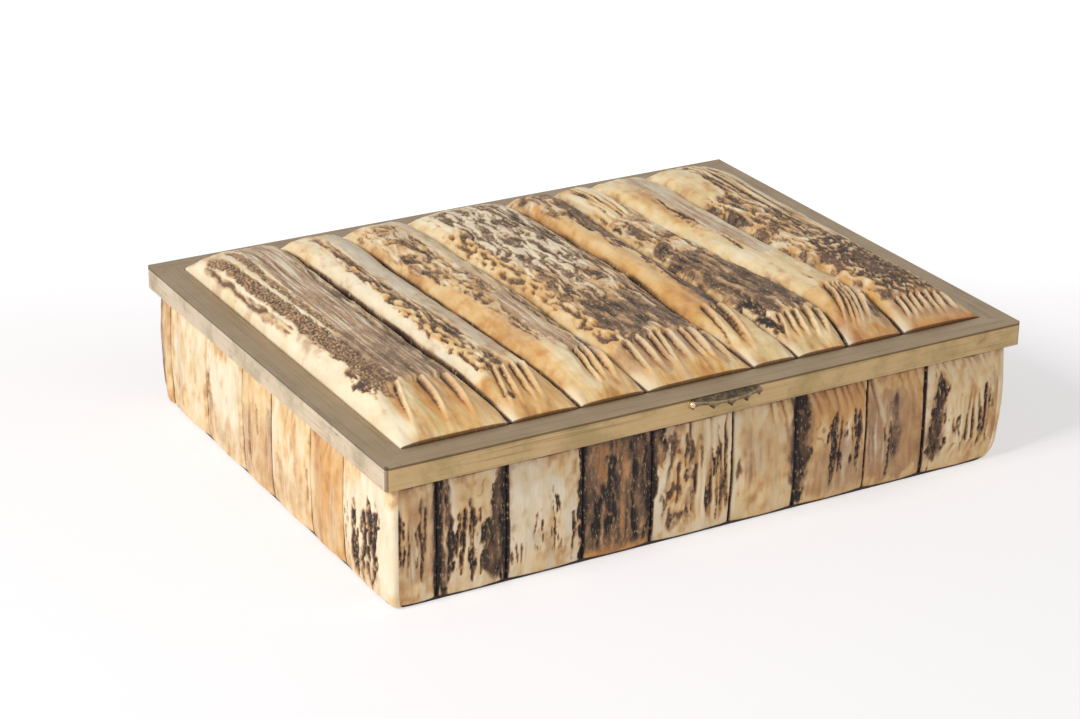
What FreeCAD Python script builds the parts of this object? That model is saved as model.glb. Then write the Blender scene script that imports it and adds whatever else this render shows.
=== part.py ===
# Keepsake box clad in sawn antler slabs, with a brass-edged lid on a long hinge.
# Lengths are in millimetres. The origin is the centre of the underside,
# +X runs to the right along the front, +Y to the back and +Z up.

import FreeCAD
import Part

import math
import os

os.makedirs("parts", exist_ok=True)

V = FreeCAD.Vector

# Overall sizes, taken over the brass frame of the lid
lid_width = 240.0
lid_depth = 187.5
border_height = 51.0

# Brass frame of the lid: a flat border on top and a skirt down the side
border_width = 10.0
skirt_depth = 8.3
brass_thickness = 1.2
frame_corner_radius = 1.8
frame_edge_radius = 0.5
skirt_overhang = 3.4

# Wooden box inside the cladding
wall_thickness = 7.0
base_thickness = 4.0
baize_thickness = 0.8
floor_lining_thickness = 1.0
lining_clearance = 0.8

# Lid panel
lid_board_thickness = 4.0
lid_lining_thickness = 1.2
lid_seat_gap = 0.2

# Antler slabs
wall_slab_thickness = 6.0
lid_crown = 8.0
lid_gape = 0.9
slab_gap = 0.3
border_clearance = 0.3

# Hinge across the back
barrel_radius = 1.9
pin_radius = 0.8
pin_clearance = 0.05
knuckle_count = 13
knuckle_gap = 0.3
barrel_clearance = 0.25
barrel_setback = 0.4
hinge_end_margin = 9.0
leaf_width = 14.0
leaf_thickness = 0.9
leaf_fit = 0.1

# Hinge screws
screw_count = 6
screw_shank_radius = 1.0
screw_head_radius = 1.9
body_screw_length = 9.0
lid_screw_length = 3.4
screw_fit = 0.03
screw_slot_width = 0.5
screw_slot_depth = 0.4
screw_edge_distance = 2.9
screw_end_distance = 14.0

# Thumb piece on the front skirt
thumb_width = 25.2
thumb_offset = 0.6
thumb_thickness = 1.7
thumb_cusp_drop = 1.6
thumb_cusp_width = 0.7
thumb_arch_count = 4
thumb_reach = 4.8
thumb_end_reach = 1.6
thumb_bead_radius = 1.1

# One number that lets a cutting solid run past what it cuts
overrun = 2.0

# Joints between the lid slabs, as shares of half the opening's width, one row a
# joint, read at the four stations from the front tips to the rear ends
lid_joint_station_shares = (-1.0, -0.78, 0.0, 1.0)
lid_joint_shares = (
    (-0.652, -0.655, -0.664, -0.677),
    (-0.428, -0.432, -0.445, -0.457),
    (-0.203, -0.214, -0.205, -0.234),
    (0.164, 0.150, 0.177, 0.156),
    (0.322, 0.318, 0.309, 0.336),
    (0.505, 0.545, 0.500, 0.464),
    (0.716, 0.752, 0.735, 0.714),
)

# Lengthwise shape of a lid slab: stations as shares of half the opening's depth,
# and the crest there as a share of the crown
lid_station_shares = (-1.0, -0.93, -0.81, -0.4, 0.4, 0.86, 0.95, 1.0)
lid_crest_shares = (0.14, 0.48, 0.84, 1.0, 0.98, 0.92, 0.66, 0.22)
lid_swell_shares = (1.0, 0.93, 0.95, 1.0, 0.94, 0.97, 0.93, 1.0)

# Shoulders of a lid slab: the places from its side, as shares of its width, and the
# heights there, as shares of its rise
lid_shoulder_place_shares = (0.0, 0.05, 0.16)
lid_shoulder_height_shares = (0.06, 0.55, 0.87)

# How far each joint of the lid gapes, as a share of the widest gape, and the share
# of that at each station
lid_gape_shares = (0.0, 1.0, 0.83, 0.5, 0.28, 0.33, 0.22, 0.39, 0.0)
lid_gape_station_shares = (0.0, 0.0, 0.1, 1.0, 1.0, 0.15, 0.0, 0.0)

# Upright shape of a wall slab: stations as shares of its height, and its depth
# there as a share of the slab's thickness, for a straight wall and a tucked one
wall_station_shares = (0.0, 0.08, 0.26, 0.52, 0.85, 1.0)
straight_depth_shares = (1.0, 1.08, 1.12, 1.14, 1.06, 1.0)
tucked_depth_shares = (0.36, 0.78, 1.08, 1.2, 1.08, 1.0)
wall_edge_share = 0.88
corner_wrap_share = 0.32

# Joints between the wall slabs, from left to right as seen from outside, as
# shares of half the face's width
front_joint_shares = (-0.866, -0.656, -0.420, -0.202, 0.057, 0.272, 0.515, 0.718)
back_joint_shares = (-0.760, -0.560, -0.300, -0.105, 0.130, 0.345, 0.590, 0.835)
left_joint_shares = (-0.910, -0.565, -0.227, 0.028, 0.360, 0.625)
right_joint_shares = (-0.690, -0.400, -0.090, 0.175, 0.480, 0.760)

# How far each wall slab swells past its neighbours
front_swell_shares = (0.97, 1.02, 0.99, 1.03, 1.0, 0.98, 1.03, 0.97, 1.0)
back_swell_shares = (1.0, 0.97, 1.02, 0.98, 1.0, 1.03, 0.99, 1.01, 0.98)
left_swell_shares = (0.98, 1.0, 1.02, 0.99, 1.03, 0.98, 1.0)
right_swell_shares = (1.0, 1.02, 0.98, 1.03, 0.99, 1.01, 0.97)

# Heights worked out from the sizes above
board_top = border_height - brass_thickness
board_underside = board_top - lid_board_thickness
wall_top = board_underside - lid_seat_gap
base_top = baize_thickness + base_thickness
slab_foot = baize_thickness
slab_top = wall_top - lid_seat_gap
leaf_seat = wall_top - leaf_thickness
back_slab_top = leaf_seat - leaf_fit

# Plan sizes worked out from the sizes above
clad_half_width = lid_width / 2 - skirt_overhang
clad_half_depth = lid_depth / 2 - skirt_overhang
wall_half_width = clad_half_width - wall_slab_thickness
wall_half_depth = clad_half_depth - wall_slab_thickness
room_half_width = wall_half_width - wall_thickness
room_half_depth = wall_half_depth - wall_thickness
opening_half_width = lid_width / 2 - border_width - border_clearance
opening_half_depth = lid_depth / 2 - border_width - border_clearance

# Places of the thumb piece
skirt_face = -lid_depth / 2
thumb_left = thumb_offset - thumb_width / 2
thumb_right = thumb_offset + thumb_width / 2
thumb_top = border_height - frame_edge_radius
thumb_height = thumb_thickness + thumb_cusp_drop

# Places of the hinge
hinge_y = clad_half_depth + barrel_setback + barrel_radius
hinge_z = wall_top + lid_seat_gap / 2
hinge_length = lid_width - 2 * (brass_thickness + hinge_end_margin)
leaf_front_y = hinge_y - leaf_width
leaf_rear_y = hinge_y - barrel_radius - barrel_clearance
screw_y = leaf_front_y + screw_edge_distance
back_skirt_depth = border_height - hinge_z - barrel_radius - barrel_clearance


def save(shape, name):
    shape.exportStep("parts/" + name + ".step")


def block(x0, x1, y0, y1, z0, z1):
    """A plain block between two opposite corners."""
    return Part.makeBox(x1 - x0, y1 - y0, z1 - z0, V(x0, y0, z0))


def turned(shape, degrees):
    """A copy of the shape, turned about the upright axis through the origin."""
    copy = shape.copy()
    copy.rotate(V(0, 0, 0), V(0, 0, 1), degrees)
    return copy


def rounded_face(corners, radii):
    """A flat face whose corners are rounded by the given radii."""
    edges = []
    starts = []
    ends = []
    middles = []
    count = len(corners)
    for i, corner in enumerate(corners):
        before = corners[i - 1] - corner
        after = corners[(i + 1) % count] - corner
        before.normalize()
        after.normalize()
        half = before.getAngle(after) / 2
        reach = radii[i] / math.tan(half)
        starts.append(corner + before * reach)
        ends.append(corner + after * reach)
        inward = before + after
        inward.normalize()
        middles.append(corner + inward * (radii[i] / math.sin(half) - radii[i]))
    for i in range(count):
        if radii[i] > 0:
            edges.append(Part.Arc(starts[i], middles[i], ends[i]).toShape())
        edges.append(Part.LineSegment(ends[i], starts[(i + 1) % count]).toShape())
    return Part.Face(Part.Wire(edges))


def between(value, stations, values):
    """The value read off straight lines drawn through the stations."""
    for i in range(len(stations) - 1):
        if value <= stations[i + 1]:
            run = (value - stations[i]) / (stations[i + 1] - stations[i])
            return values[i] + run * (values[i + 1] - values[i])
    return values[-1]


def frame_rail(length, across, depth):
    """One mitred rail of the lid's frame, made as the front one."""
    outer = -across / 2
    top = border_height
    corners = [
        V(-length / 2, outer, top - depth),
        V(-length / 2, outer, top),
        V(-length / 2, outer + border_width, top),
        V(-length / 2, outer + border_width, top - brass_thickness),
        V(-length / 2, outer + brass_thickness, top - brass_thickness),
        V(-length / 2, outer + brass_thickness, top - depth),
    ]
    fine_radius = frame_edge_radius / 2
    radii = [fine_radius, frame_edge_radius, fine_radius, 0, 0, fine_radius]
    bar = rounded_face(corners, radii).extrude(V(length, 0, 0))
    mitre = [
        V(-length / 2, outer, top - depth),
        V(length / 2, outer, top - depth),
        V(length / 2 - border_width, outer + border_width, top - depth),
        V(-length / 2 + border_width, outer + border_width, top - depth),
    ]
    ends = Part.Face(Part.makePolygon(mitre + [mitre[0]])).extrude(V(0, 0, depth))
    plan = [
        V(-length / 2, outer, top - depth),
        V(length / 2, outer, top - depth),
        V(length / 2, -outer, top - depth),
        V(-length / 2, -outer, top - depth),
    ]
    rounded = rounded_face(plan, [frame_corner_radius] * 4).extrude(V(0, 0, depth))
    return bar.common(ends).common(rounded)


def thumb_plan():
    """The thumb piece seen from above: a shallow bow against the skirt."""
    back_left = V(thumb_left, skirt_face, thumb_top)
    back_right = V(thumb_right, skirt_face, thumb_top)
    end_left = V(thumb_left, skirt_face - thumb_end_reach, thumb_top)
    end_right = V(thumb_right, skirt_face - thumb_end_reach, thumb_top)
    front = V(thumb_offset, skirt_face - thumb_reach, thumb_top)
    edges = [
        Part.LineSegment(back_left, end_left).toShape(),
        Part.Arc(end_left, front, end_right).toShape(),
        Part.LineSegment(end_right, back_right).toShape(),
        Part.LineSegment(back_right, back_left).toShape(),
    ]
    return Part.Face(Part.Wire(edges))


def thumb_front():
    """The thumb piece seen from the front: its lower edge is a row of arches."""
    low = thumb_top - thumb_height
    pitch = thumb_width / thumb_arch_count
    low_left = V(thumb_left, skirt_face, low)
    top_left = V(thumb_left, skirt_face, thumb_top)
    low_right = V(thumb_right, skirt_face, low)
    top_right = V(thumb_right, skirt_face, thumb_top)
    edges = [
        Part.LineSegment(low_right, top_right).toShape(),
        Part.LineSegment(top_right, top_left).toShape(),
        Part.LineSegment(top_left, low_left).toShape(),
    ]
    for i in range(thumb_arch_count):
        x = thumb_left + pitch * i
        cusp = V(x, skirt_face, low)
        rise = V(x + thumb_cusp_width / 2, skirt_face, low)
        crown = V(x + pitch / 2, skirt_face, thumb_top - thumb_thickness)
        fall = V(x + pitch - thumb_cusp_width / 2, skirt_face, low)
        next_cusp = V(x + pitch, skirt_face, low)
        edges.append(Part.LineSegment(cusp, rise).toShape())
        edges.append(Part.Arc(rise, crown, fall).toShape())
        edges.append(Part.LineSegment(fall, next_cusp).toShape())
    return Part.Face(Part.Wire(edges))


def thumb_piece():
    """The scalloped lip along the front edge that lifts the lid, with a bead at
    either end."""
    bow = thumb_plan().extrude(V(0, 0, -thumb_height))
    lip = bow.common(thumb_front().extrude(V(0, -thumb_reach, 0)))
    bead_y = skirt_face - thumb_end_reach / 2
    bead_z = thumb_top - thumb_height / 2
    beads = []
    for x in (thumb_left, thumb_right):
        beads.append(Part.makeSphere(thumb_bead_radius, V(x, bead_y, bead_z)))
    before_skirt = block(-lid_width, lid_width, skirt_face - lid_depth, skirt_face, 0, thumb_top)
    return lip.fuse(beads).common(before_skirt).removeSplitter()


def slab_section(foot, left, right, crest):
    """A closed outline: a straight foot, its sides and one swelling arc on top.
    The left and right points rise from the foot to where the arc springs."""
    rising = [foot[1]] + right
    falling = left[::-1] + [foot[0]]
    edges = [Part.LineSegment(foot[0], foot[1]).toShape()]
    for a, b in zip(rising, rising[1:]):
        edges.append(Part.LineSegment(a, b).toShape())
    edges.append(Part.Arc(right[-1], crest, left[-1]).toShape())
    for a, b in zip(falling, falling[1:]):
        edges.append(Part.LineSegment(a, b).toShape())
    return Part.Wire(edges)


def lid_joint(number, station):
    """Where a joint between lid slabs lies, as a share of the half width."""
    if number == 0:
        return -1.0
    if number > len(lid_joint_shares):
        return 1.0
    return between(station, lid_joint_station_shares, lid_joint_shares[number - 1])


def lid_section(x0, x1, y, rise):
    """A lid slab's outline across it: a straight foot, two upright sides, two steep
    shoulders and a flat crest between them."""
    left = []
    right = []
    for place_share, height_share in zip(lid_shoulder_place_shares, lid_shoulder_height_shares):
        inset = (x1 - x0) * place_share
        z = border_height + rise * height_share
        left.append(V(x0 + inset, y, z))
        right.append(V(x1 - inset, y, z))
    foot_left = V(x0, y, board_top)
    foot_right = V(x1, y, board_top)
    crest = V((x0 + x1) / 2, y, border_height + rise)
    return Part.Wire(
        [
            Part.LineSegment(foot_left, foot_right).toShape(),
            Part.LineSegment(foot_right, right[0]).toShape(),
            Part.Arc(*right).toShape(),
            Part.Arc(right[-1], crest, left[-1]).toShape(),
            Part.Arc(*left[::-1]).toShape(),
            Part.LineSegment(left[0], foot_left).toShape(),
        ]
    )


def lid_slab(number):
    """A lid slab, lofted along its length from the front tip to the rear end."""
    last = len(lid_joint_shares)
    left_gap = 0 if number == 0 else slab_gap / 2
    right_gap = 0 if number == last else slab_gap / 2
    sections = []
    for i, station in enumerate(lid_station_shares):
        y = station * opening_half_depth
        gape = lid_gape * lid_gape_station_shares[i]
        x0 = lid_joint(number, station) * opening_half_width + left_gap
        x1 = lid_joint(number + 1, station) * opening_half_width - right_gap
        x0 += gape * lid_gape_shares[number]
        x1 -= gape * lid_gape_shares[number + 1]
        rise = lid_crown * lid_crest_shares[i] * lid_swell_shares[number]
        sections.append(lid_section(x0, x1, y, rise))
    return Part.makeLoft(sections, True, True)


def wall_end(half, own_depth, next_depth, wraps, side):
    """The end of a face at a corner of the box: the place of its foot, then its
    side's points as (place along the face, depth), rising from the foot."""
    if wraps:
        tip = (half + next_depth, own_depth * (1 - corner_wrap_share))
        shoulder = (tip[0] - own_depth * corner_wrap_share, own_depth * wall_edge_share)
        return half * side, [(tip[0] * side, tip[1]), (shoulder[0] * side, shoulder[1])]
    edge_depth = own_depth * wall_edge_share
    lean = next_depth * (1 - corner_wrap_share) * wall_edge_share
    place = (half + lean - slab_gap) * side
    return (half - slab_gap) * side, [(place, edge_depth)]


def wall_slab(face, number):
    """A wall slab, lofted upwards, made as if its face were the front one."""
    joints = face["joints"]
    last = len(joints)
    sections = []
    for i, share in enumerate(wall_station_shares):
        z = slab_foot + share * (face["top"] - slab_foot)
        own = wall_slab_thickness * face["depths"][i]
        edge_depth = own * wall_edge_share
        if number == 0:
            beside = wall_slab_thickness * face["left_depths"][i]
            foot0, edge0 = wall_end(face["half"], own, beside, face["wraps"], -1)
        else:
            foot0 = joints[number - 1] * face["clad_half"] + slab_gap / 2
            edge0 = [(foot0, edge_depth)]
        if number == last:
            beside = wall_slab_thickness * face["right_depths"][i]
            foot1, edge1 = wall_end(face["half"], own, beside, face["wraps"], 1)
        else:
            foot1 = joints[number] * face["clad_half"] - slab_gap / 2
            edge1 = [(foot1, edge_depth)]
        seat = -face["seat"]
        foot = (V(foot0, seat, z), V(foot1, seat, z))
        left = [V(u, seat - n, z) for u, n in edge0]
        right = [V(u, seat - n, z) for u, n in edge1]
        swell = own * face["swells"][number]
        crest = V((edge0[-1][0] + edge1[-1][0]) / 2, seat - swell, z)
        sections.append(slab_section(foot, left, right, crest))
    return Part.makeLoft(sections, True, True)


def knuckle_spans(first):
    """The stretches along X of every second knuckle, from the first one named."""
    pitch = hinge_length / knuckle_count
    spans = []
    for i in range(first, knuckle_count, 2):
        start = -hinge_length / 2 + i * pitch
        spans.append((start + knuckle_gap / 2, start + pitch - knuckle_gap / 2))
    return spans


def screw_places():
    """Where the screws of one leaf stand along X."""
    reach = hinge_length / 2 - screw_end_distance
    step = 2 * reach / (screw_count - 1)
    return [-reach + i * step for i in range(screw_count)]


def screw(length, fit):
    """A countersunk screw with its head at the origin and its shank below."""
    grow = screw_fit if fit else 0
    head = Part.makeCone(
        screw_shank_radius + grow,
        screw_head_radius + grow,
        leaf_thickness,
        V(0, 0, -leaf_thickness),
    )
    shank = Part.makeCylinder(screw_shank_radius + grow, length + grow, V(0, 0, -length - grow))
    body = head.fuse(shank)
    if fit:
        return body
    slot = block(
        -screw_head_radius, screw_head_radius,
        -screw_slot_width / 2, screw_slot_width / 2,
        -screw_slot_depth, overrun,
    )
    return body.cut(slot).removeSplitter()


def screws(length, fit, down):
    """All the screws of one leaf, or the room that they need, as one group."""
    group = []
    for x in screw_places():
        one = screw(length, fit)
        if not down:
            one.rotate(V(0, 0, 0), V(1, 0, 0), 180)
        one.translate(V(x, screw_y, wall_top if down else board_underside))
        group.append(one)
    return group


def hinge_leaf(first, low, length, down):
    """A hinge leaf with every second knuckle, and its screw holes."""
    half = hinge_length / 2
    leaf = block(-half, half, leaf_front_y, leaf_rear_y, low, low + leaf_thickness)
    for x0, x1 in knuckle_spans(first):
        tab = block(x0, x1, leaf_rear_y, hinge_y, low, low + leaf_thickness)
        roll = Part.makeCylinder(barrel_radius, x1 - x0, V(x0, hinge_y, hinge_z), V(1, 0, 0))
        leaf = leaf.fuse(tab).fuse(roll)
    bore = Part.makeCylinder(
        pin_radius + pin_clearance,
        hinge_length + 2 * overrun,
        V(-half - overrun, hinge_y, hinge_z),
        V(1, 0, 0),
    )
    leaf = leaf.cut(bore)
    for room in screws(length, True, down):
        leaf = leaf.cut(room)
    return leaf.removeSplitter()


def leaf_recess(low):
    """The room that a let-in leaf needs, open at the back."""
    half = hinge_length / 2 + leaf_fit
    return block(
        -half, half, leaf_front_y - leaf_fit, hinge_y + overrun, low, low + leaf_thickness
    )


def build_lid_frame():
    save(frame_rail(lid_width, lid_depth, skirt_depth), "lid_rail_front")
    save(turned(frame_rail(lid_depth, lid_width, skirt_depth), 90), "lid_rail_right")
    save(turned(frame_rail(lid_width, lid_depth, back_skirt_depth), 180), "lid_rail_back")
    save(turned(frame_rail(lid_depth, lid_width, skirt_depth), 270), "lid_rail_left")
    save(thumb_piece(), "thumb_piece")


def build_lid_panel():
    half_width = lid_width / 2 - brass_thickness
    half_depth = lid_depth / 2 - brass_thickness
    board = block(-half_width, half_width, -half_depth, leaf_rear_y, board_underside, board_top)
    board = board.cut(leaf_recess(board_underside))
    for room in screws(lid_screw_length, True, False):
        board = board.cut(room)
    save(board.removeSplitter(), "lid_board")
    lining_x = room_half_width - lining_clearance
    lining_y = room_half_depth - lining_clearance
    lining_low = board_underside - lid_lining_thickness
    save(
        block(-lining_x, lining_x, -lining_y, lining_y, lining_low, board_underside),
        "lid_lining",
    )


def build_lid_slabs():
    for number in range(len(lid_joint_shares) + 1):
        save(lid_slab(number), "lid_slab_" + str(number + 1))


def build_walls():
    x = wall_half_width
    y = wall_half_depth
    save(block(-x, x, -y, y, baize_thickness, base_top), "base_board")
    save(block(-x, x, -y, -y + wall_thickness, base_top, wall_top), "wall_front")
    inner = wall_half_depth - wall_thickness
    save(block(-x, -x + wall_thickness, -inner, inner, base_top, wall_top), "wall_left")
    save(block(x - wall_thickness, x, -inner, inner, base_top, wall_top), "wall_right")
    back = block(-x, x, y - wall_thickness, y, base_top, wall_top)
    back = back.cut(leaf_recess(leaf_seat))
    for room in screws(body_screw_length, True, True):
        back = back.cut(room)
    save(back.removeSplitter(), "wall_back")


def build_linings():
    x = room_half_width - lining_clearance / 2
    y = room_half_depth - lining_clearance / 2
    save(block(-x, x, -y, y, base_top, base_top + floor_lining_thickness), "floor_lining")
    straight = wall_slab_thickness * straight_depth_shares[0] * wall_edge_share
    tucked = wall_slab_thickness * tucked_depth_shares[0] * wall_edge_share
    baize = block(
        -wall_half_width - straight, wall_half_width + tucked,
        -wall_half_depth - straight, wall_half_depth + tucked,
        0, baize_thickness,
    )
    save(baize, "base_baize")


def build_wall_slabs():
    straight = straight_depth_shares
    tucked = tucked_depth_shares
    wide = {"half": wall_half_width, "clad_half": clad_half_width, "seat": wall_half_depth}
    deep = {"half": wall_half_depth, "clad_half": clad_half_depth, "seat": wall_half_width}
    faces = (
        ("front", 0, wide, front_joint_shares, front_swell_shares, straight, straight, tucked),
        ("right", 90, deep, right_joint_shares, right_swell_shares, tucked, straight, tucked),
        ("back", 180, wide, back_joint_shares, back_swell_shares, tucked, tucked, straight),
        ("left", 270, deep, left_joint_shares, left_swell_shares, straight, tucked, straight),
    )
    for name, angle, sizes, joints, swells, own, on_left, on_right in faces:
        face = dict(sizes)
        face["joints"] = joints
        face["swells"] = swells
        face["depths"] = own
        face["left_depths"] = on_left
        face["right_depths"] = on_right
        face["wraps"] = name in ("left", "right")
        face["top"] = back_slab_top if name == "back" else slab_top
        for number in range(len(joints) + 1):
            slab = turned(wall_slab(face, number), angle)
            save(slab, name + "_slab_" + str(number + 1))


def build_hinge():
    save(hinge_leaf(0, leaf_seat, body_screw_length, True), "hinge_body_leaf")
    save(hinge_leaf(1, board_underside, lid_screw_length, False), "hinge_lid_leaf")
    pin = Part.makeCylinder(
        pin_radius, hinge_length, V(-hinge_length / 2, hinge_y, hinge_z), V(1, 0, 0)
    )
    save(pin, "hinge_pin")
    save(Part.makeCompound(screws(body_screw_length, False, True)), "body_hinge_screws")
    save(Part.makeCompound(screws(lid_screw_length, False, False)), "lid_hinge_screws")


build_lid_frame()
build_lid_panel()
build_lid_slabs()
build_walls()
build_linings()
build_wall_slabs()
build_hinge()
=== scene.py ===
import math
from typing import NamedTuple

import bmesh
import bpy
import numpy as np
from mathutils import Matrix, Vector


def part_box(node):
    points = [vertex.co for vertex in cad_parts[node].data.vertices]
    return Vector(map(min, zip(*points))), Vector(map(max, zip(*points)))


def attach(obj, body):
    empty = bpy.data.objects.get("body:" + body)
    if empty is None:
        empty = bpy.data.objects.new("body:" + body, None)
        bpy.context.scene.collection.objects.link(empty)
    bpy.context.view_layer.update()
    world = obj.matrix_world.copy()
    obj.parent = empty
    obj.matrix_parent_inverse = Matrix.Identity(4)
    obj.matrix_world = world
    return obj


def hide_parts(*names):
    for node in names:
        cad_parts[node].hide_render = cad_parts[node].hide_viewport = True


bl_info = {
    "name": "Antler Keepsake Box",
    "version": (1, 0, 0),
    "blender": (4, 5, 0),
    "location": "3D View > Sidebar > Antler Box",
    "description": "Dresses a keepsake box with sawn antler slabs, aged brass, cedar and baize",
    "category": "Object",
}

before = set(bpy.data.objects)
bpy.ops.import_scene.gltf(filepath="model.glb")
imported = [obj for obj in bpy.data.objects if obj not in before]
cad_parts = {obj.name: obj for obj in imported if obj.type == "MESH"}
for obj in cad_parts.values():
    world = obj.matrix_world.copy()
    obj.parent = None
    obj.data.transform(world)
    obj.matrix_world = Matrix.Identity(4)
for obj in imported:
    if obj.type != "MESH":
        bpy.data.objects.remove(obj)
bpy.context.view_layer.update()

MM = 0.001


def tone(red, green, blue):
    """A colour written as the eye sees it on a screen, turned to light values."""
    parts = []
    for part in (red, green, blue):
        share = part / 255
        parts.append(share / 12.92 if share < 0.04045 else ((share + 0.055) / 1.055) ** 2.4)
    return tuple(parts)


def span(first, last=None):
    """The lowest and highest corners of one or two CAD nodes, in millimetres."""
    low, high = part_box(first)
    if last:
        low_b, high_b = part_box(last)
        low = Vector(map(min, low, low_b))
        high = Vector(map(max, high, high_b))
    return np.array(low) / MM, np.array(high) / MM


# Sizes read from the frame, in millimetres
LID_LOW, LID_HIGH = span("lid_slab_1", "lid_slab_8")
BORDER_TOP = span("lid_rail_front")[1][2]
BORDER_LOW, BORDER_HIGH = span("lid_rail_front", "lid_rail_back")
BOARD_TOP = span("lid_board")[1][2]
WALL_HIGH = span("wall_front", "wall_back")[1]
FRONT_LOW, FRONT_HIGH = span("front_slab_1", "front_slab_9")
BACK_TOP = span("back_slab_1")[1][2]
SLAB_FOOT = FRONT_LOW[2]
SLAB_TOP = FRONT_HIGH[2]
BAIZE_LOW, BAIZE_HIGH = span("base_baize")

# The thumb piece: a bowed lip with arches below, let into the skirt behind it. Its
# sizes are in millimetres, its cells are counted round the lip and along it
THUMB_LOW, THUMB_HIGH = span("thumb_piece")
THUMB_BEAD = 1.1
THUMB_LEFT = THUMB_LOW[0] + THUMB_BEAD
THUMB_RIGHT = THUMB_HIGH[0] - THUMB_BEAD
THUMB_REACH = BORDER_LOW[1] - THUMB_LOW[1]
THUMB_END_REACH = 1.6
THUMB_CUSP_DROP = 1.6
THUMB_ARCHES = 4
THUMB_ARCH_POWER = 2.4
THUMB_SINK = 0.5
THUMB_SLOPE = 0.5
THUMB_ROUNDING = 0.4
THUMB_RIM = 0.4
THUMB_DENT = 0.12
THUMB_CELLS = (56, 240)

# Joints between the lid slabs, as shares of half the opening's width, read at four
# stations from the front tips to the rear ends
LID_JOINT_STATIONS = (-1.0, -0.78, 0.0, 1.0)
LID_JOINTS = (
    (-0.652, -0.655, -0.664, -0.677),
    (-0.428, -0.432, -0.445, -0.457),
    (-0.203, -0.214, -0.205, -0.234),
    (0.164, 0.150, 0.177, 0.156),
    (0.322, 0.318, 0.309, 0.336),
    (0.505, 0.545, 0.500, 0.464),
    (0.710, 0.732, 0.715, 0.704),
)

# How the lid slabs rise from front to rear, and how high each one stands, as shares of
# the highest
LID_STATIONS = (-1.0, -0.93, -0.81, -0.4, 0.4, 0.86, 0.95, 1.0)
LID_CRESTS = (0.14, 0.48, 0.84, 1.0, 0.98, 0.92, 0.66, 0.22)
LID_SWELLS = (1.0, 0.93, 0.95, 1.0, 0.94, 0.97, 0.93, 1.0)

# How square the slab at the right end of the lid is on its outer side, how round the
# slabs' backs are, how far they lean, and how much their crests rise and fall
OUTER_SHOULDER = 2.0
LID_ROUNDING = 0.6
LID_LEAN = 0.12
LID_ROLL = 0.05

# How wide each joint of the lid gapes at its middle, in millimetres a side, and where
# along the lid the gape opens and closes
LID_GAPES = (0.0, 0.9, 0.75, 0.45, 0.25, 0.3, 0.2, 0.35, 0.0)
GAPE_OPENS = (0.05, 0.3)
GAPE_CLOSES = (0.7, 1.0)

# How far the lid's surface stays above the board and may pass the solid's crest
LID_FOOT_CLEARANCE = 0.4
LID_CREST_SPARE = 0.5

# Upright shape of the wall slabs, as shares of their height and thickness
WALL_STATIONS = (0.0, 0.08, 0.26, 0.52, 0.85, 1.0)
STRAIGHT_DEPTHS = (1.0, 1.08, 1.12, 1.14, 1.06, 1.0)
TUCKED_DEPTHS = (0.36, 0.78, 1.08, 1.2, 1.08, 1.0)
SLAB_THICKNESS = 6.0
CORNER_WRAP = 0.32
WRAP_SPREAD = 1.25
WALL_BULGE = 0.9

# Joints between the wall slabs, as shares of half the side that they clad, from left
# to right as seen from outside
FRONT_JOINTS = (-0.866, -0.656, -0.420, -0.202, 0.057, 0.272, 0.515, 0.718)
BACK_JOINTS = (-0.760, -0.560, -0.300, -0.105, 0.130, 0.345, 0.590, 0.835)
LEFT_JOINTS = (-0.910, -0.565, -0.227, 0.028, 0.360, 0.625)
RIGHT_JOINTS = (-0.690, -0.400, -0.090, 0.175, 0.480, 0.760)

# Painted shadow of the skirt on the wall slabs under it: where the painted shade begins and ends,
# and the height and half width of the painted dark shadow line, in millimetres
SHADE_HEIGHTS = (37, 41)
SKIRT_SHADOW_HEIGHT = 41.4
SKIRT_SHADOW_HALF = 0.45

# Brass frame: how far below its top the darker border, which is patina and painted shade, and the
# dark line under it, which is tarnish and painted shade, begin and end, and how far in from the
# outside the dark corner line runs at each side
BORDER_FADE = (0.35, 0.1)
EDGE_TARNISH_AND_SHADE = (1.3, 0.8)
SEAM_INSETS = (0.55, 1.2)
SEAM_HALF = 0.25

# Baize: cells, how far it stops short at the sides, how much its corners are rounded,
# its lift off the table and its nap
BAIZE_CELLS = (160, 120)
BAIZE_INSET = 0.4
BAIZE_CORNER = 1.2
BAIZE_CORNER_POWERS = (60, 40)
BAIZE_LIFT = 0.06
BAIZE_NAP = 0.05

# Stage, in metres: the lamps' places and sizes, the floor's half width, and how far
# from the box the floor turns from lit paper to white glow
KEY_PLACE = (-1.22, -0.2, 0.98)
KEY_SIZE = (0.4, 0.4)
FILL_PLACE = (0.5, -1.1, 0.9)
FILL_SIZE = (1.2, 1.2)
FLOOR_HALF = 6
HAZE_REACH = (0.03, 0.26)
GLOW_SHARE = 0.48
GLOW_STRENGTH = 1.13
MIRRORED_SKY = 0.75


class Band(NamedTuple):
    """A strip of one surface style on a slab. Its centre line and half width are
    shares of the slab's width, alike throughout or at four stations along it, and its
    span is shares of the slab's length, all from the front tip or the foot."""

    style: str
    centres: tuple | float
    halves: tuple | float
    reach: tuple
    strength: float = 1.0


class Cuts(NamedTuple):
    """A row of shingle-like cuts: places as shares of the width, the sideways drift
    for each millimetre along, the span along the slab, and the depth in millimetres."""

    places: tuple
    drift: float
    reach: tuple
    depth: float


class Look(NamedTuple):
    """How one slab looks: its warmth at four stations, its bands and its cuts."""

    warmth: tuple
    bands: tuple
    cuts: tuple


def slab_look(warmth, *parts):
    """A look made of its warmth, its bands in the order they are laid, and its cuts."""
    bands = tuple(part for part in parts if isinstance(part, Band))
    cuts = tuple(part for part in parts if isinstance(part, Cuts))
    return Look(warmth, bands, cuts)


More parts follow.
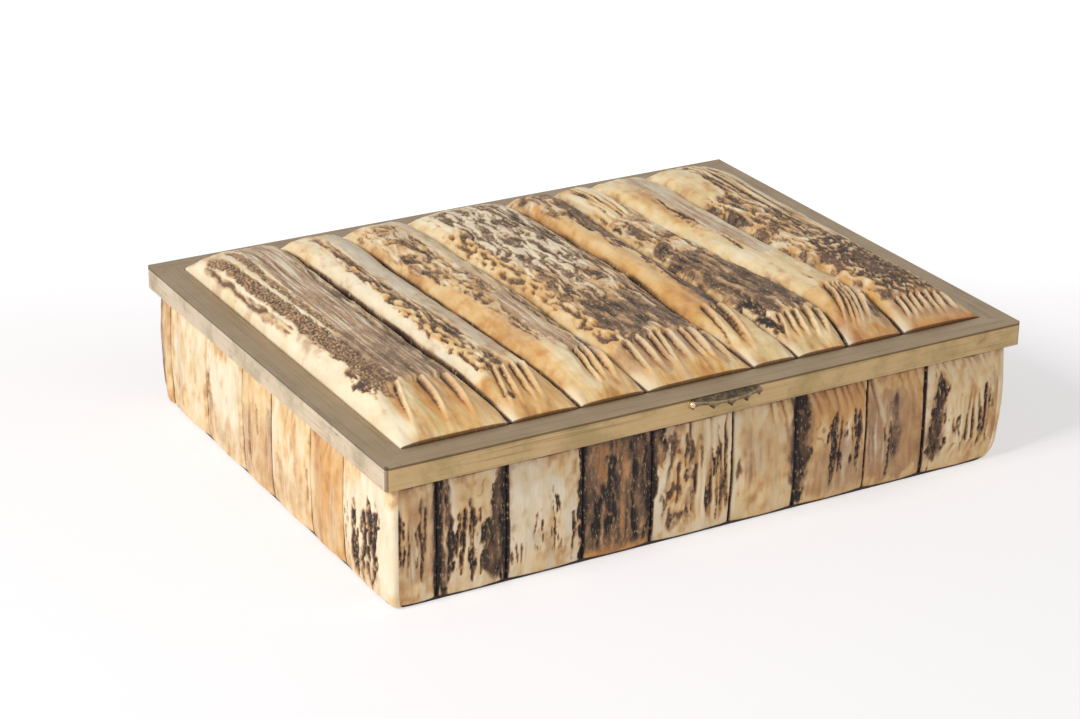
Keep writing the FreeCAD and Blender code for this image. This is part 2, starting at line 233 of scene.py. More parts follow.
LID_LOOKS = (
    slab_look(
        (0.5, 0.26, 0.16, 0.3),
        Band("ivory", 0.06, (0.14, 0.1, 0.08, 0.1), (0.0, 1.0), 0.8),
        Band("striae", (0.74, 0.62, 0.64, 0.6), (0.22, 0.22, 0.19, 0.16), (0.15, 0.98)),
        Band("wrinkle", 0.86, (0.06, 0.07, 0.06, 0.04), (0.2, 0.95), 0.7),
        Band("pitted", (0.33, 0.265, 0.225, 0.15), (0.09, 0.11, 0.085, 0.06), (0.17, 0.95)),
        Band("pitted", (0.44, 0.42, 0.39, 0.36), (0.0, 0.02, 0.045, 0.05), (0.42, 0.96), 0.85),
        Band("ivory", (0.38, 0.34, 0.31, 0.26), (0.01, 0.02, 0.022, 0.015), (0.3, 0.95), 0.85),
        Band("wrinkle", (0.12, 0.1, 0.07, 0.05), (0.0, 0.03, 0.035, 0.015), (0.5, 0.93), 0.6),
        Band("blot", (0.24, 0.1, 0.1, 0.1), (0.05, 0.05, 0.0, 0.0), (0.14, 0.29), 0.75),
        Band("pitted", (0.3, 0.17, 0.1, 0.1), (0.04, 0.05, 0.0, 0.0), (0.13, 0.3), 0.8),
        Band("amber", 0.66, (0.34, 0.08, 0.0, 0.0), (0.0, 0.2), 0.7),
        Band("orange", 0.5, (0.1, 0.04, 0.0, 0.0), (0.1, 0.17), 0.5),
        Band("smoke_and_shade", 0.62, (0.28, 0.32, 0.0, 0.0), (0.17, 0.46), 0.4),
        Cuts((0.34, 0.58, 0.8), 0.22, (0.015, 0.18), 2.0),
    ),
    slab_look(
        (0.5, 0.24, 0.12, 0.3),
        Band("ivory", 0.1, (0.1, 0.14, 0.16, 0.1), (0.12, 0.85), 0.9),
        Band("grey", 0.74, (0.1, 0.22, 0.26, 0.16), (0.2, 0.97), 0.9),
        Band("burr", (0.36, 0.34, 0.34, 0.4), (0.14, 0.2, 0.11, 0.07), (0.14, 0.95)),
        Band("pearl", (0.26, 0.24, 0.26, 0.3), (0.1, 0.11, 0.05, 0.0), (0.13, 0.62)),
        Band("wrinkle", (0.46, 0.47, 0.42, 0.4), (0.07, 0.08, 0.05, 0.03), (0.2, 0.92), 0.85),
        Band("amber", 0.4, (0.6, 0.2, 0.0, 0.0), (0.0, 0.17), 0.75),
        Band("blot", (0.2, 0.28, 0.3, 0.3), (0.05, 0.02, 0.0, 0.0), (0.04, 0.11), 0.85),
        Cuts((0.36, 0.5, 0.66, 0.82), 0.24, (0.015, 0.16), 1.7),
    ),
    slab_look(
        (0.5, 0.42, 0.36, 0.3),
        Band("amber", (0.1, 0.12, 0.08, 0.2), (0.14, 0.16, 0.12, 0.2), (0.1, 0.7), 0.6),
        Band("burr", (0.72, 0.56, 0.38, 0.32), (0.12, 0.22, 0.26, 0.27), (0.22, 0.96)),
        Band("pearl", (0.3, 0.4, 0.3, 0.3), (0.0, 0.1, 0.06, 0.04), (0.35, 0.72), 0.7),
        Band("striae", (0.8, 0.66, 0.74, 0.7), (0.1, 0.22, 0.08, 0.0), (0.14, 0.5), 0.9),
        Band("grey", 0.72, (0.0, 0.1, 0.14, 0.16), (0.3, 0.97), 0.6),
        Band("orange", (0.2, 0.16, 0.1, 0.1), (0.1, 0.08, 0.0, 0.0), (0.16, 0.42), 0.6),
        Band("wrinkle", (0.9, 0.84, 0.86, 0.9), (0.08, 0.1, 0.05, 0.03), (0.14, 0.7), 0.8),
        Band("ivory", (0.5, 0.32, 0.3, 0.3), (0.2, 0.08, 0.0, 0.0), (0.02, 0.4), 0.45),
        Band("brown_grey_and_shade", 0.5, (0.4, 0.4, 0.0, 0.0), (0.2, 0.46), 0.35),
        Band("streak", (0.4, 0.34, 0.2, 0.2), (0.03, 0.05, 0.0, 0.0), (0.2, 0.44), 0.6),
        Cuts((0.6, 0.74, 0.9), 0.26, (0.02, 0.17), 2.0),
    ),
    slab_look(
        (0.6, 0.38, 0.3, 0.3),
        Band("burr", 0.52, (0.42, 0.42, 0.42, 0.38), (0.12, 0.97)),
        Band("bark", (0.5, 0.55, 0.6, 0.6), (0.38, 0.4, 0.1, 0.0), (0.15, 0.36), 0.65),
        Band("wrinkle", (0.84, 0.84, 0.8, 0.7), (0.05, 0.08, 0.1, 0.06), (0.2, 0.95), 0.7),
        Band("ivory", 0.5, (0.0, 0.0, 0.36, 0.46), (0.5, 0.99), 0.75),
        Band("ivory", (0.5, 0.42, 0.55, 0.5), (0.0, 0.03, 0.05, 0.0), (0.34, 0.78), 0.5),
        Band("pearl", (0.12, 0.12, 0.1, 0.12), (0.05, 0.06, 0.06, 0.05), (0.12, 0.85), 0.9),
        Band("amber", 0.1, (0.06, 0.06, 0.05, 0.0), (0.1, 0.6), 0.4),
        Band("smoke_and_shade", (0.78, 0.8, 0.7, 0.7), (0.06, 0.08, 0.0, 0.0), (0.15, 0.27), 0.9),
        Band("brown_grey_and_shade", 0.5, (0.5, 0.4, 0.0, 0.0), (0.02, 0.16), 0.8),
        Cuts((0.2, 0.31, 0.42, 0.52, 0.62, 0.73, 0.84, 0.95), 0.16, (0.02, 0.15), 1.8),
    ),
    slab_look(
        (0.34, 0.5, 0.42, 0.36),
        Band("amber", (0.3, 0.3, 0.2, 0.2), (0.3, 0.4, 0.3, 0.2), (0.15, 0.95), 0.5),
        Band("orange", (0.3, 0.26, 0.2, 0.2), (0.1, 0.14, 0.0, 0.0), (0.16, 0.4), 0.5),
        Band("bark", (0.7, 0.84, 0.76, 0.52), (0.1, 0.2, 0.3, 0.5), (0.2, 0.99)),
        Band("burr", (0.8, 0.86, 0.8, 0.7), (0.0, 0.1, 0.14, 0.2), (0.34, 0.97), 0.7),
        Band("smoke_and_shade", (0.4, 0.76, 0.7, 0.7), (0.05, 0.2, 0.0, 0.0), (0.17, 0.4), 0.75),
        Band("orange", (0.3, 0.2, 0.2, 0.2), (0.12, 0.1, 0.0, 0.0), (0.12, 0.36), 0.3),
        Band("smoke_and_shade", (0.9, 0.9, 0.84, 0.7), (0.0, 0.06, 0.12, 0.34), (0.4, 0.99), 0.45),
        Band("blot", 0.9, (0.07, 0.1, 0.0, 0.0), (0.05, 0.25)),
        Band("burr", (0.2, 0.2, 0.3, 0.3), (0.0, 0.0, 0.1, 0.3), (0.76, 0.97), 0.9),
        Cuts((0.42, 0.6, 0.76), 0.24, (0.02, 0.23), 1.8),
    ),
    slab_look(
        (0.44, 0.4, 0.36, 0.3),
        Band("flutes", 0.5, (0.0, 0.2, 0.42, 0.4), (0.56, 0.97), 0.9),
        Band("burr", 0.5, (0.3, 0.44, 0.4, 0.2), (0.12, 0.75)),
        Band("bark", (0.5, 0.45, 0.4, 0.4), (0.34, 0.4, 0.2, 0.0), (0.13, 0.5), 0.55),
        Band("smoke_and_shade", (0.6, 0.74, 0.7, 0.7), (0.2, 0.16, 0.0, 0.0), (0.15, 0.4), 0.7),
        Band("grey", 0.85, (0.0, 0.1, 0.14, 0.14), (0.4, 0.97), 0.6),
        Band("blot", 0.12, (0.06, 0.08, 0.0, 0.0), (0.06, 0.24)),
        Cuts((0.3, 0.44, 0.58, 0.72, 0.88), 0.2, (0.02, 0.13), 1.6),
    ),
    slab_look(
        (0.8, 0.32, 0.28, 0.26),
        Band("amber", 0.3, (0.2, 0.24, 0.2, 0.16), (0.05, 0.95), 0.2),
        Band("orange", (0.42, 0.42, 0.3, 0.28), (0.14, 0.1, 0.06, 0.1), (0.14, 0.46), 0.3),
        Band("knot", 0.4, 0.16, (0.56, 0.7), 0.8),
        Band("brown_grey_and_shade", (0.66, 0.5, 0.0, 0.0), (0.36, 0.0, 0.0, 0.0), (0.02, 0.2), 0.95),
        Band("wrinkle", (0.86, 0.8, 0.0, 0.0), (0.14, 0.05, 0.0, 0.0), (0.05, 0.24), 0.8),
        Band("orange", 0.32, (0.0, 0.0, 0.12, 0.08), (0.62, 0.86), 0.6),
        Band("grey", (0.6, 0.62, 0.6, 0.56), (0.0, 0.1, 0.16, 0.14), (0.44, 0.98), 0.75),
        Band("ivory", 0.86, (0.1, 0.12, 0.1, 0.06), (0.16, 0.7), 0.8),
        Band("ivory", 0.26, (0.1, 0.2, 0.0, 0.0), (0.2, 0.48), 0.45),
        Band("striae", 0.56, (0.0, 0.08, 0.14, 0.1), (0.4, 0.95), 0.7),
        Band("dashes", (0.5, 0.42, 0.4, 0.4), (0.04, 0.03, 0.0, 0.0), (0.18, 0.3), 0.6),
        Band("streak", 0.38, (0.0, 0.03, 0.05, 0.02), (0.44, 0.8), 0.9),
        Cuts((0.46, 0.6, 0.72, 0.84, 0.95), 0.4, (0.02, 0.21), 2.0),
    ),
    slab_look(
        (0.9, 0.44, 0.4, 0.28),
        Band("flutes", (0.6, 0.6, 0.66, 0.66), (0.0, 0.2, 0.3, 0.3), (0.45, 0.98), 0.8),
        Band("burr", (0.4, 0.4, 0.22, 0.2), (0.3, 0.38, 0.24, 0.0), (0.08, 0.76)),
        Band("crumbs", (0.56, 0.54, 0.6, 0.6), (0.34, 0.32, 0.12, 0.0), (0.075, 0.46), 0.95),
        Band("smoke_and_shade", 0.5, (0.2, 0.2, 0.0, 0.0), (0.12, 0.34), 0.5),
        Band("wrinkle", (0.4, 0.4, 0.42, 0.42), (0.0, 0.0, 0.05, 0.04), (0.46, 0.97), 0.8),
        Band("crack", 0.55, (0.0, 0.0, 0.026, 0.026), (0.5, 0.97), 0.75),
        Band("crack", 0.72, (0.0, 0.0, 0.02, 0.02), (0.56, 0.95), 0.65),
        Band("amber", 0.06, (0.1, 0.1, 0.0, 0.0), (0.02, 0.36), 0.8),
        Band("orange", 0.6, (0.44, 0.0, 0.0, 0.0), (0.0, 0.12), 1.0),
        Band("brown_grey_and_shade", 0.6, (0.5, 0.4, 0.0, 0.0), (0.0, 0.12), 0.95),
        Cuts((0.18, 0.28, 0.39, 0.5, 0.61, 0.72, 0.83), 0.16, (0.015, 0.095), 1.6),
    ),
)

FRONT_LOOKS = (
    slab_look(
        (0.32, 0.34, 0.34, 0.4),
        Band("brown_grey_and_shade", 0.5, 0.45, (0.06, 0.94), 0.55),
        Band("streak", (0.08, 0.1, 0.09, 0.08), (0.02, 0.08, 0.08, 0.04), (0.16, 0.76)),
        Band("striae", 0.36, (0.02, 0.1, 0.1, 0.02), (0.14, 0.72), 0.6),
        Band("streak", (0.6, 0.62, 0.64, 0.66), (0.04, 0.12, 0.12, 0.06), (0.12, 0.8), 0.75),
        # Painted shade beside the joint at the slab's right edge
        Band("smoke_and_shade", 0.97, (0.05, 0.07, 0.07, 0.08), (0.06, 1.0), 0.85),
        Band("streak", 0.3, (0.02, 0.03, 0.03, 0.0), (0.2, 0.66), 0.7),
    ),
    slab_look(
        (0.26, 0.26, 0.3, 0.34),
        Band("blot", (0.04, 0.07, 0.06, 0.03), (0.08, 0.12, 0.09, 0.02), (0.02, 0.96)),
        Band("wrinkle", (0.1, 0.12, 0.12, 0.1), (0.06, 0.06, 0.08, 0.06), (0.06, 0.98), 0.8),
        Band("ivory", (0.17, 0.19, 0.2, 0.15), (0.01, 0.02, 0.05, 0.05), (0.4, 0.99), 0.9),
        Band("streak", (0.3, 0.32, 0.33, 0.3), (0.03, 0.08, 0.06, 0.0), (0.12, 0.66)),
        Band("blot", (0.3, 0.32, 0.33, 0.3), (0.02, 0.03, 0.02, 0.0), (0.14, 0.6)),
        Band("streak", (0.47, 0.49, 0.49, 0.49), (0.04, 0.08, 0.07, 0.0), (0.08, 0.74)),
        Band("blot", (0.47, 0.49, 0.49, 0.49), (0.02, 0.035, 0.03, 0.0), (0.1, 0.68)),
        Band("blot", (0.82, 0.8, 0.86, 0.92), (0.14, 0.18, 0.12, 0.03), (0.04, 0.86)),
        Band("smoke_and_shade", (0.86, 0.86, 0.9, 0.95), (0.12, 0.14, 0.09, 0.05), (0.04, 0.98)),
        Band("ivory", 0.87, (0.0, 0.008, 0.008, 0.0), (0.16, 0.7), 0.6),
        Band("knot", 0.6, 0.12, (0.72, 0.92)),
    ),
    slab_look(
        (0.2, 0.14, 0.14, 0.26),
        Band("ivory", (0.2, 0.2, 0.22, 0.22), (0.14, 0.2, 0.24, 0.22), (0.1, 1.0), 0.7),
        Band("dashes", 0.4, (0.03, 0.05, 0.04, 0.0), (0.12, 0.52), 1.0),
        Band("dashes", (0.62, 0.63, 0.63, 0.6), (0.05, 0.06, 0.05, 0.02), (0.12, 0.7)),
        Band("streak", 0.86, (0.03, 0.05, 0.04, 0.02), (0.08, 0.56), 0.9),
        Band("blot", 0.97, (0.02, 0.03, 0.03, 0.03), (0.04, 1.0)),
        Band("dashes", 0.12, (0.07, 0.07, 0.0, 0.0), (0.06, 0.36), 0.7),
        Band("amber", 0.6, (0.0, 0.0, 0.16, 0.2), (0.72, 1.0), 0.4),
    ),
    slab_look(
        (0.7, 0.6, 0.6, 0.62),
        Band("bark", 0.52, (0.54, 0.54, 0.54, 0.52), (0.0, 1.0), 1.0),
        Band("smoke_and_shade", 0.84, (0.04, 0.14, 0.18, 0.14), (0.16, 0.94), 0.7),
        Band("smoke_and_shade", 0.06, (0.04, 0.08, 0.08, 0.05), (0.04, 1.0), 0.7),
        Band("tawny", (0.24, 0.24, 0.24, 0.22), (0.0, 0.05, 0.08, 0.12), (0.46, 1.0), 0.8),
        Band("tawny", (0.56, 0.54, 0.52, 0.46), (0.03, 0.07, 0.09, 0.12), (0.16, 1.0), 0.65),
        Band("blot", (0.42, 0.4, 0.38, 0.36), (0.0, 0.05, 0.05, 0.03), (0.2, 0.84)),
        Band("tawny", 0.5, (0.3, 0.1, 0.0, 0.0), (0.0, 0.12), 0.25),
    ),
    slab_look(
        (0.2, 0.2, 0.22, 0.24),
        Band("flutes", 0.72, (0.2, 0.27, 0.27, 0.27), (0.04, 1.0)),
        Band("burr", (0.28, 0.3, 0.32, 0.3), (0.13, 0.2, 0.18, 0.08), (0.05, 0.88)),
        Band("pearl", (0.3, 0.28, 0.3, 0.3), (0.04, 0.1, 0.08, 0.04), (0.1, 0.8), 0.85),
        Band("streak", 0.85, (0.03, 0.06, 0.06, 0.03), (0.08, 0.8)),
        Band("bark", (0.0, 0.0, 0.03, 0.08), (0.0, 0.02, 0.09, 0.12), (0.3, 1.0)),
        Band("ivory", (0.1, 0.08, 0.18, 0.24), (0.08, 0.05, 0.03, 0.04), (0.02, 1.0), 0.8),
    ),
    slab_look(
        (0.36, 0.36, 0.36, 0.34),
        # Painted highlight on the slab's lit left edge
        Band("ivory", 0.05, (0.04, 0.05, 0.05, 0.05), (0.0, 1.0), 0.7),
        Band("blot", 0.11, (0.0, 0.025, 0.02, 0.0), (0.26, 0.6), 0.6),
        Band("grey", 0.3, (0.0, 0.16, 0.18, 0.0), (0.3, 0.75), 0.5),
        Band("orange", 0.65, (0.0, 0.16, 0.16, 0.0), (0.22, 0.66), 0.35),
        Band("striae", 0.5, (0.0, 0.3, 0.3, 0.0), (0.2, 0.8), 0.22),
        Band("smoke_and_shade", 0.97, (0.0, 0.08, 0.09, 0.03), (0.2, 0.8), 0.8),
        Cuts((0.56, 0.74, 0.9), -0.22, (0.58, 0.93), 0.6),
    ),
    slab_look(
        (0.44, 0.42, 0.5, 0.6),
        Band("blot", 0.04, (0.07, 0.12, 0.11, 0.07), (0.02, 1.0)),
        Band("smoke_and_shade", 0.1, (0.03, 0.1, 0.1, 0.03), (0.02, 0.9), 0.6),
        Band("orange", 0.6, (0.0, 0.0, 0.35, 0.45), (0.56, 1.0), 0.5),
        Band("brown_grey_and_shade", 0.6, (0.45, 0.36, 0.0, 0.0), (0.0, 0.55), 0.8),
        Band("knot", 0.36, 0.09, (0.42, 0.66), 0.8),
        Band("streak", (0.5, 0.55, 0.58, 0.56), (0.04, 0.1, 0.08, 0.0), (0.16, 0.72)),
        Band("blot", (0.48, 0.52, 0.56, 0.56), (0.02, 0.045, 0.03, 0.0), (0.2, 0.66)),
        Band("streak", (0.84, 0.85, 0.87, 0.86), (0.03, 0.08, 0.07, 0.0), (0.18, 0.72)),
        Band("blot", (0.86, 0.87, 0.88, 0.86), (0.01, 0.04, 0.03, 0.0), (0.2, 0.66)),
        Band("ivory", (0.66, 0.7, 0.71, 0.7), (0.02, 0.025, 0.025, 0.0), (0.14, 0.66), 0.9),
        Cuts((0.08, 0.2, 0.32, 0.44, 0.56, 0.67, 0.78, 0.89), -0.4, (0.6, 0.97), 0.55),
    ),
    slab_look(
        (0.5, 0.44, 0.44, 0.44),
        Band("brown_grey_and_shade", 0.45, (0.45, 0.5, 0.4, 0.0), (0.02, 0.84), 0.95),
        Band("striae", (0.3, 0.34, 0.36, 0.3), (0.04, 0.08, 0.06, 0.0), (0.06, 0.74), 0.5),
        Band("grey", 0.12, (0.14, 0.16, 0.14, 0.0), (0.1, 0.85), 0.7),
        Band("striae", 0.12, (0.06, 0.09, 0.06, 0.0), (0.1, 0.7), 0.6),
        Band("smoke_and_shade", 0.47, (0.03, 0.06, 0.06, 0.03), (0.12, 0.74), 0.9),
        Band("streak", 0.36, (0.02, 0.05, 0.04, 0.0), (0.12, 0.56), 0.85),
        Band("orange", 0.8, 0.2, (0.1, 1.0), 0.35),
        Cuts((0.06,), -0.24, (0.28, 0.96), 0.7),
        Cuts((0.52, 0.66, 0.8), -0.3, (0.6, 0.96), 0.4),
    ),
    slab_look(
        (0.4, 0.36, 0.34, 0.4),
        # Painted shade on the slab's right flank, where it curves away from the light
        Band("brown_grey_and_shade", 0.97, 0.09, (0.1, 0.8), 0.9),
        Band("ivory", 0.55, (0.0, 0.0, 0.2, 0.45), (0.68, 1.0), 0.35),
        # Painted highlight on the slab's lit left edge
        Band("ivory", 0.05, (0.03, 0.04, 0.05, 0.05), (0.0, 1.0), 0.7),
        Band("blot", (0.14, 0.18, 0.2, 0.2), (0.05, 0.09, 0.06, 0.02), (0.07, 0.88)),
        Band("smoke_and_shade", (0.14, 0.17, 0.2, 0.2), (0.04, 0.08, 0.05, 0.02), (0.07, 0.7), 0.8),
        Band("flutes", 0.64, (0.16, 0.26, 0.24, 0.0), (0.12, 0.64), 0.9),
        Band("blot", 0.45, (0.0, 0.03, 0.025, 0.0), (0.2, 0.58)),
        Band("streak", 0.82, (0.02, 0.05, 0.05, 0.0), (0.12, 0.62)),
        Cuts((0.14, 0.25, 0.36, 0.47, 0.58, 0.69, 0.79), -0.45, (0.62, 0.9), 0.28),
        Cuts((0.44, 0.56, 0.68, 0.8), 0.3, (0.06, 0.2), 0.5),
    ),
)

LEFT_LOOKS = (
    slab_look(
        (0.4, 0.36, 0.36, 0.42),
        Band("brown_grey_and_shade", 0.4, 0.5, (0.2, 1.0), 0.5),
        Band("smoke_and_shade", 0.3, (0.14, 0.16, 0.14, 0.1), (0.05, 1.0), 0.5),
    ),
    slab_look(
        (0.3, 0.24, 0.22, 0.28),
        Band("grey", 0.3, (0.1, 0.12, 0.1, 0.0), (0.1, 0.9), 0.25),
    ),
    slab_look(
        (0.26, 0.12, 0.1, 0.34),
        Band("ivory", 0.55, (0.2, 0.36, 0.36, 0.2), (0.15, 0.85), 0.8),
        Band("amber", 0.4, (0.0, 0.0, 0.1, 0.3), (0.76, 0.95), 0.7),
        Band("streak", (0.06, 0.08, 0.1, 0.1), (0.05, 0.06, 0.03, 0.0), (0.1, 0.7), 0.9),
        Band("striae", 0.4, (0.2, 0.1, 0.0, 0.0), (0.04, 0.26), 0.5),
        Band("orange", 0.4, (0.0, 0.0, 0.0, 0.25), (0.74, 0.94), 0.4),
        Band("brown_grey_and_shade", 0.5, (0.5, 0.4, 0.0, 0.0), (0.0, 0.4), 0.35),
        Cuts((0.24, 0.36, 0.48, 0.6), 0.5, (0.68, 0.93), 0.3),
    ),
    slab_look(
        (0.4, 0.4, 0.42, 0.5),
        Band("striae", (0.3, 0.32, 0.3, 0.3), (0.06, 0.12, 0.06, 0.0), (0.05, 0.64), 0.7),
        Band("streak", (0.28, 0.28, 0.28, 0.3), (0.02, 0.05, 0.04, 0.0), (0.1, 0.58), 0.8),
        Band("streak", 0.62, (0.0, 0.02, 0.05, 0.03), (0.36, 0.66), 0.6),
        Band("striae", 0.92, (0.04, 0.06, 0.06, 0.04), (0.1, 0.8), 0.7),
        Band("brown_grey_and_shade", 0.5, 0.5, (0.0, 0.7), 0.4),
    ),
    slab_look(
        (0.34, 0.3, 0.26, 0.36),
        Band("amber", 0.5, (0.0, 0.0, 0.2, 0.28), (0.6, 0.92), 0.6),
        Band("ivory", 0.1, 0.08, (0.1, 1.0), 0.5),
        Band("dashes", 0.33, (0.04, 0.04, 0.0, 0.0), (0.04, 0.2), 0.6),
        Band("streak", 0.93, (0.0, 0.02, 0.02, 0.0), (0.2, 0.6), 0.4),
        Band("brown_grey_and_shade", 0.5, (0.5, 0.4, 0.0, 0.0), (0.0, 0.4), 0.35),
        Cuts((0.2, 0.36, 0.52, 0.68), 0.45, (0.66, 0.92), 0.3),
    ),
    slab_look(
        (0.56, 0.56, 0.6, 0.66),
        Band("orange", (0.55, 0.55, 0.4, 0.3), (0.2, 0.3, 0.3, 0.26), (0.1, 0.97), 0.45),
        Band("grey", 0.3, (0.0, 0.08, 0.08, 0.0), (0.3, 0.8), 0.3),
        Band("striae", 0.75, (0.05, 0.07, 0.04, 0.0), (0.05, 0.6), 0.4),
        Band("ivory", 0.1, (0.0, 0.06, 0.08, 0.04), (0.3, 0.9), 0.4),
        Band("brown_grey_and_shade", 0.5, (0.5, 0.4, 0.0, 0.0), (0.0, 0.4), 0.35),
        Cuts((0.2, 0.36, 0.5, 0.64, 0.8), 0.5, (0.62, 0.94), 0.35),
    ),
    slab_look(
        (0.26, 0.14, 0.14, 0.3),
        Band("ivory", 0.6, (0.4, 0.4, 0.4, 0.3), (0.05, 0.8), 0.7),
        Band("brown_grey_and_shade", 0.4, (0.4, 0.1, 0.0, 0.0), (0.0, 0.3), 0.5),
        Band("blot", (0.28, 0.27, 0.25, 0.24), (0.07, 0.08, 0.03, 0.0), (0.04, 0.62)),
        Band("blot", (0.5, 0.48, 0.52, 0.55), (0.06, 0.06, 0.05, 0.0), (0.05, 0.72)),
        Band("blot", (0.68, 0.68, 0.66, 0.66), (0.05, 0.06, 0.07, 0.03), (0.04, 0.76)),
        Band("dashes", 0.09, (0.03, 0.05, 0.03, 0.0), (0.16, 0.56)),
        Band("amber", (0.2, 0.2, 0.2, 0.25), (0.0, 0.0, 0.1, 0.25), (0.7, 1.0), 0.5),
        Cuts((0.14, 0.24, 0.34, 0.44), 0.4, (0.7, 0.95), 0.3),
    ),
)

# The back and the right side mix the looks of the faces in front, in another order
BACK_LOOKS = tuple((FRONT_LOOKS + LEFT_LOOKS)[i] for i in (11, 7, 2, 13, 4, 14, 8, 5, 10))
RIGHT_LOOKS = tuple((FRONT_LOOKS + LEFT_LOOKS)[i] for i in (5, 12, 4, 9, 6, 13, 2))


# Properties


def length_property(name, description, default, low, high):
    """A length that a user can change, given here in millimetres."""
    return bpy.props.FloatProperty(
        name=name, description=description, unit="LENGTH",
        default=default * MM, min=low * MM, max=high * MM,
    )


def factor_property(name, description, default, high):
    """A share or strength that a user can change."""
    return bpy.props.FloatProperty(
        name=name, description=description, subtype="FACTOR",
        default=default, min=0.0, max=high,
    )


def angle_property(name, description, degrees):
    """An angle that a user can change, given here in degrees."""
    return bpy.props.FloatProperty(
        name=name, description=description, unit="ROTATION",
        default=math.radians(degrees),
    )


def colour_property(name, description, *screen):
    """A colour that a user can change, given here as it shows on a screen."""
    return bpy.props.FloatVectorProperty(
        name=name, description=description, subtype="COLOR",
        default=tone(*screen), min=0, max=1,
    )


class SlabSizes(bpy.types.PropertyGroup):
    """Sizes shared by all the antler slabs."""

    cell: length_property("Cell", "Width of one cell of a slab's surface", 0.4, 0.2, 2)
    relief: factor_property("Relief", "How strongly bark, ridges and cuts stand out", 1.0, 2.0)
    shoulder: bpy.props.FloatProperty(
        name="Shoulder", description="How square a lid slab's cross section is",
        default=4.0, min=1.5, max=6.0,
    )
    groove: factor_property(
        "Groove", "Share of a lid slab's rise that is left at its joints", 0.06, 0.9,
    )
    wander: length_property(
        "Wander", "How far the joints stray from a straight line", 0.35, 0.0, 2,
    )
    joint: length_property("Joint", "Gap between two neighbouring slabs", 0.2, 0.0, 1)
    wall_edge: length_property(
        "Wall edge", "Radius of the rounded edges of a wall slab", 1.1, 0.2, 3,
    )


class AntlerColours(bpy.types.PropertyGroup):
    """Colours of the antler, from polished core to outer bark."""

    ivory: colour_property("Ivory", "Palest polished antler", 246, 233, 204)
    cream: colour_property("Cream", "Common polished antler", 238, 209, 156)
    ochre: colour_property("Ochre", "Yellowed antler at cut ends", 218, 166, 94)
    moss: colour_property("Moss", "Greenish yellow cast of some stretches", 206, 184, 112)
    rust: colour_property("Rust", "Orange-brown stains", 186, 116, 58)
    ash: colour_property("Ash", "Greyed antler beside the bark", 172, 154, 136)
    bark: colour_property("Bark", "Brown of the outer bark", 120, 90, 64)
    pitch: colour_property("Pitch", "Near-black hollows of the bark", 34, 25, 24)


class FittingColours(bpy.types.PropertyGroup):
    """Colours of the brass, the wood and the cloth."""

    # The border's darker brass is patina and painted shade on the frame's top
    border: colour_property("Border brass", "Patinated top of the lid's frame", 174, 151, 121)
    patina: colour_property(
        "Patina", "Olive cast in patches of the frame's sides", 152, 138, 88,
    )
    skirt: colour_property("Skirt brass", "Rubbed sides of the lid's frame", 216, 187, 136)
    # A paler brass for the left and right rails: rubbed, and painted lighter as lit sides
    ends: colour_property(
        "End brass", "Paler rubbed sides at the left and right of the frame", 240, 224, 194,
    )
    rubbed: colour_property(
        "Rubbed brass", "Bright rim and beads of the thumb piece", 238, 216, 178,
    )
    tarnish: colour_property("Tarnish", "Dark film in corners and scratches", 70, 54, 40)
    hinge: colour_property("Hinge brass", "Brass of the hinge and its screws", 214, 176, 112)
    cedar: colour_property("Cedar", "Wood of the walls and boards", 176, 118, 78)
    walnut: colour_property("Walnut", "Veneer panels inside", 110, 74, 48)
    baize: colour_property("Baize", "Cloth under the base", 46, 40, 34)


class StageSettings(bpy.types.PropertyGroup):
    """The camera, the lamps and the floor."""

    place: bpy.props.FloatVectorProperty(
        name="Camera place", description="Where the camera stands",
        default=(-0.44922, -0.76037, 0.40971), subtype="TRANSLATION", unit="LENGTH",
    )
    heading: angle_property(
        "Heading", "Turn of the view to the right of straight ahead", 29.807,
    )
    pitch: angle_property("Pitch", "Tilt of the view, down being negative", -23.501)
    roll: angle_property("Roll", "Turn of the picture about the view", 0.617)
    lens: bpy.props.FloatProperty(
        name="Lens", description="Focal length for a 36 mm wide picture, in millimetres",
        default=92.106, min=20,
    )
    key_power: bpy.props.FloatProperty(
        name="Key power", description="Power of the large soft lamp at the left, in watts",
        default=17.5, min=0,
    )
    fill_power: bpy.props.FloatProperty(
        name="Fill power", description="Power of the weak lamp at the right, in watts",
        default=2.6, min=0,
    )
    sky: bpy.props.FloatProperty(
        name="Sky level", description="Even light from all round", default=0.34, min=0,
    )
    floor: colour_property("Floor", "Colour of the floor", 247, 240, 241)


def settings(name):
    """The property group of the scene with the given name."""
    return getattr(bpy.context.scene, name)


# Patterns in the plane of a slab, in millimetres


def lattice(column, row, seed):
    """A repeatable number from 0 to 1 for each cell of a grid."""
    mixed = (column * 374761393 + row * 668265263 + seed * 974634777) & 0xFFFFFFFF
    mixed = ((mixed ^ (mixed >> 13)) * 1274126177) & 0xFFFFFFFF
    return ((mixed ^ (mixed >> 16)) & 0xFFFFFF) / 0xFFFFFF


def swell(x, y, seed):
    """Soft noise from about -1 to 1 that swells once or so in each unit."""
    column = np.floor(x).astype(np.int64)
    row = np.floor(y).astype(np.int64)
    along = x - column
    up = y - row
    ease_x = along * along * along * (along * (along * 6 - 15) + 10)
    ease_y = up * up * up * (up * (up * 6 - 15) + 10)
    total = 0
    for i in (0, 1):
        for j in (0, 1):
            angle = lattice(column + i, row + j, seed) * math.tau
            slope = np.cos(angle) * (along - i) + np.sin(angle) * (up - j)
            weight_x = ease_x if i else 1 - ease_x
            weight_y = ease_y if j else 1 - ease_y
            total = total + slope * weight_x * weight_y
    return total * 1.5


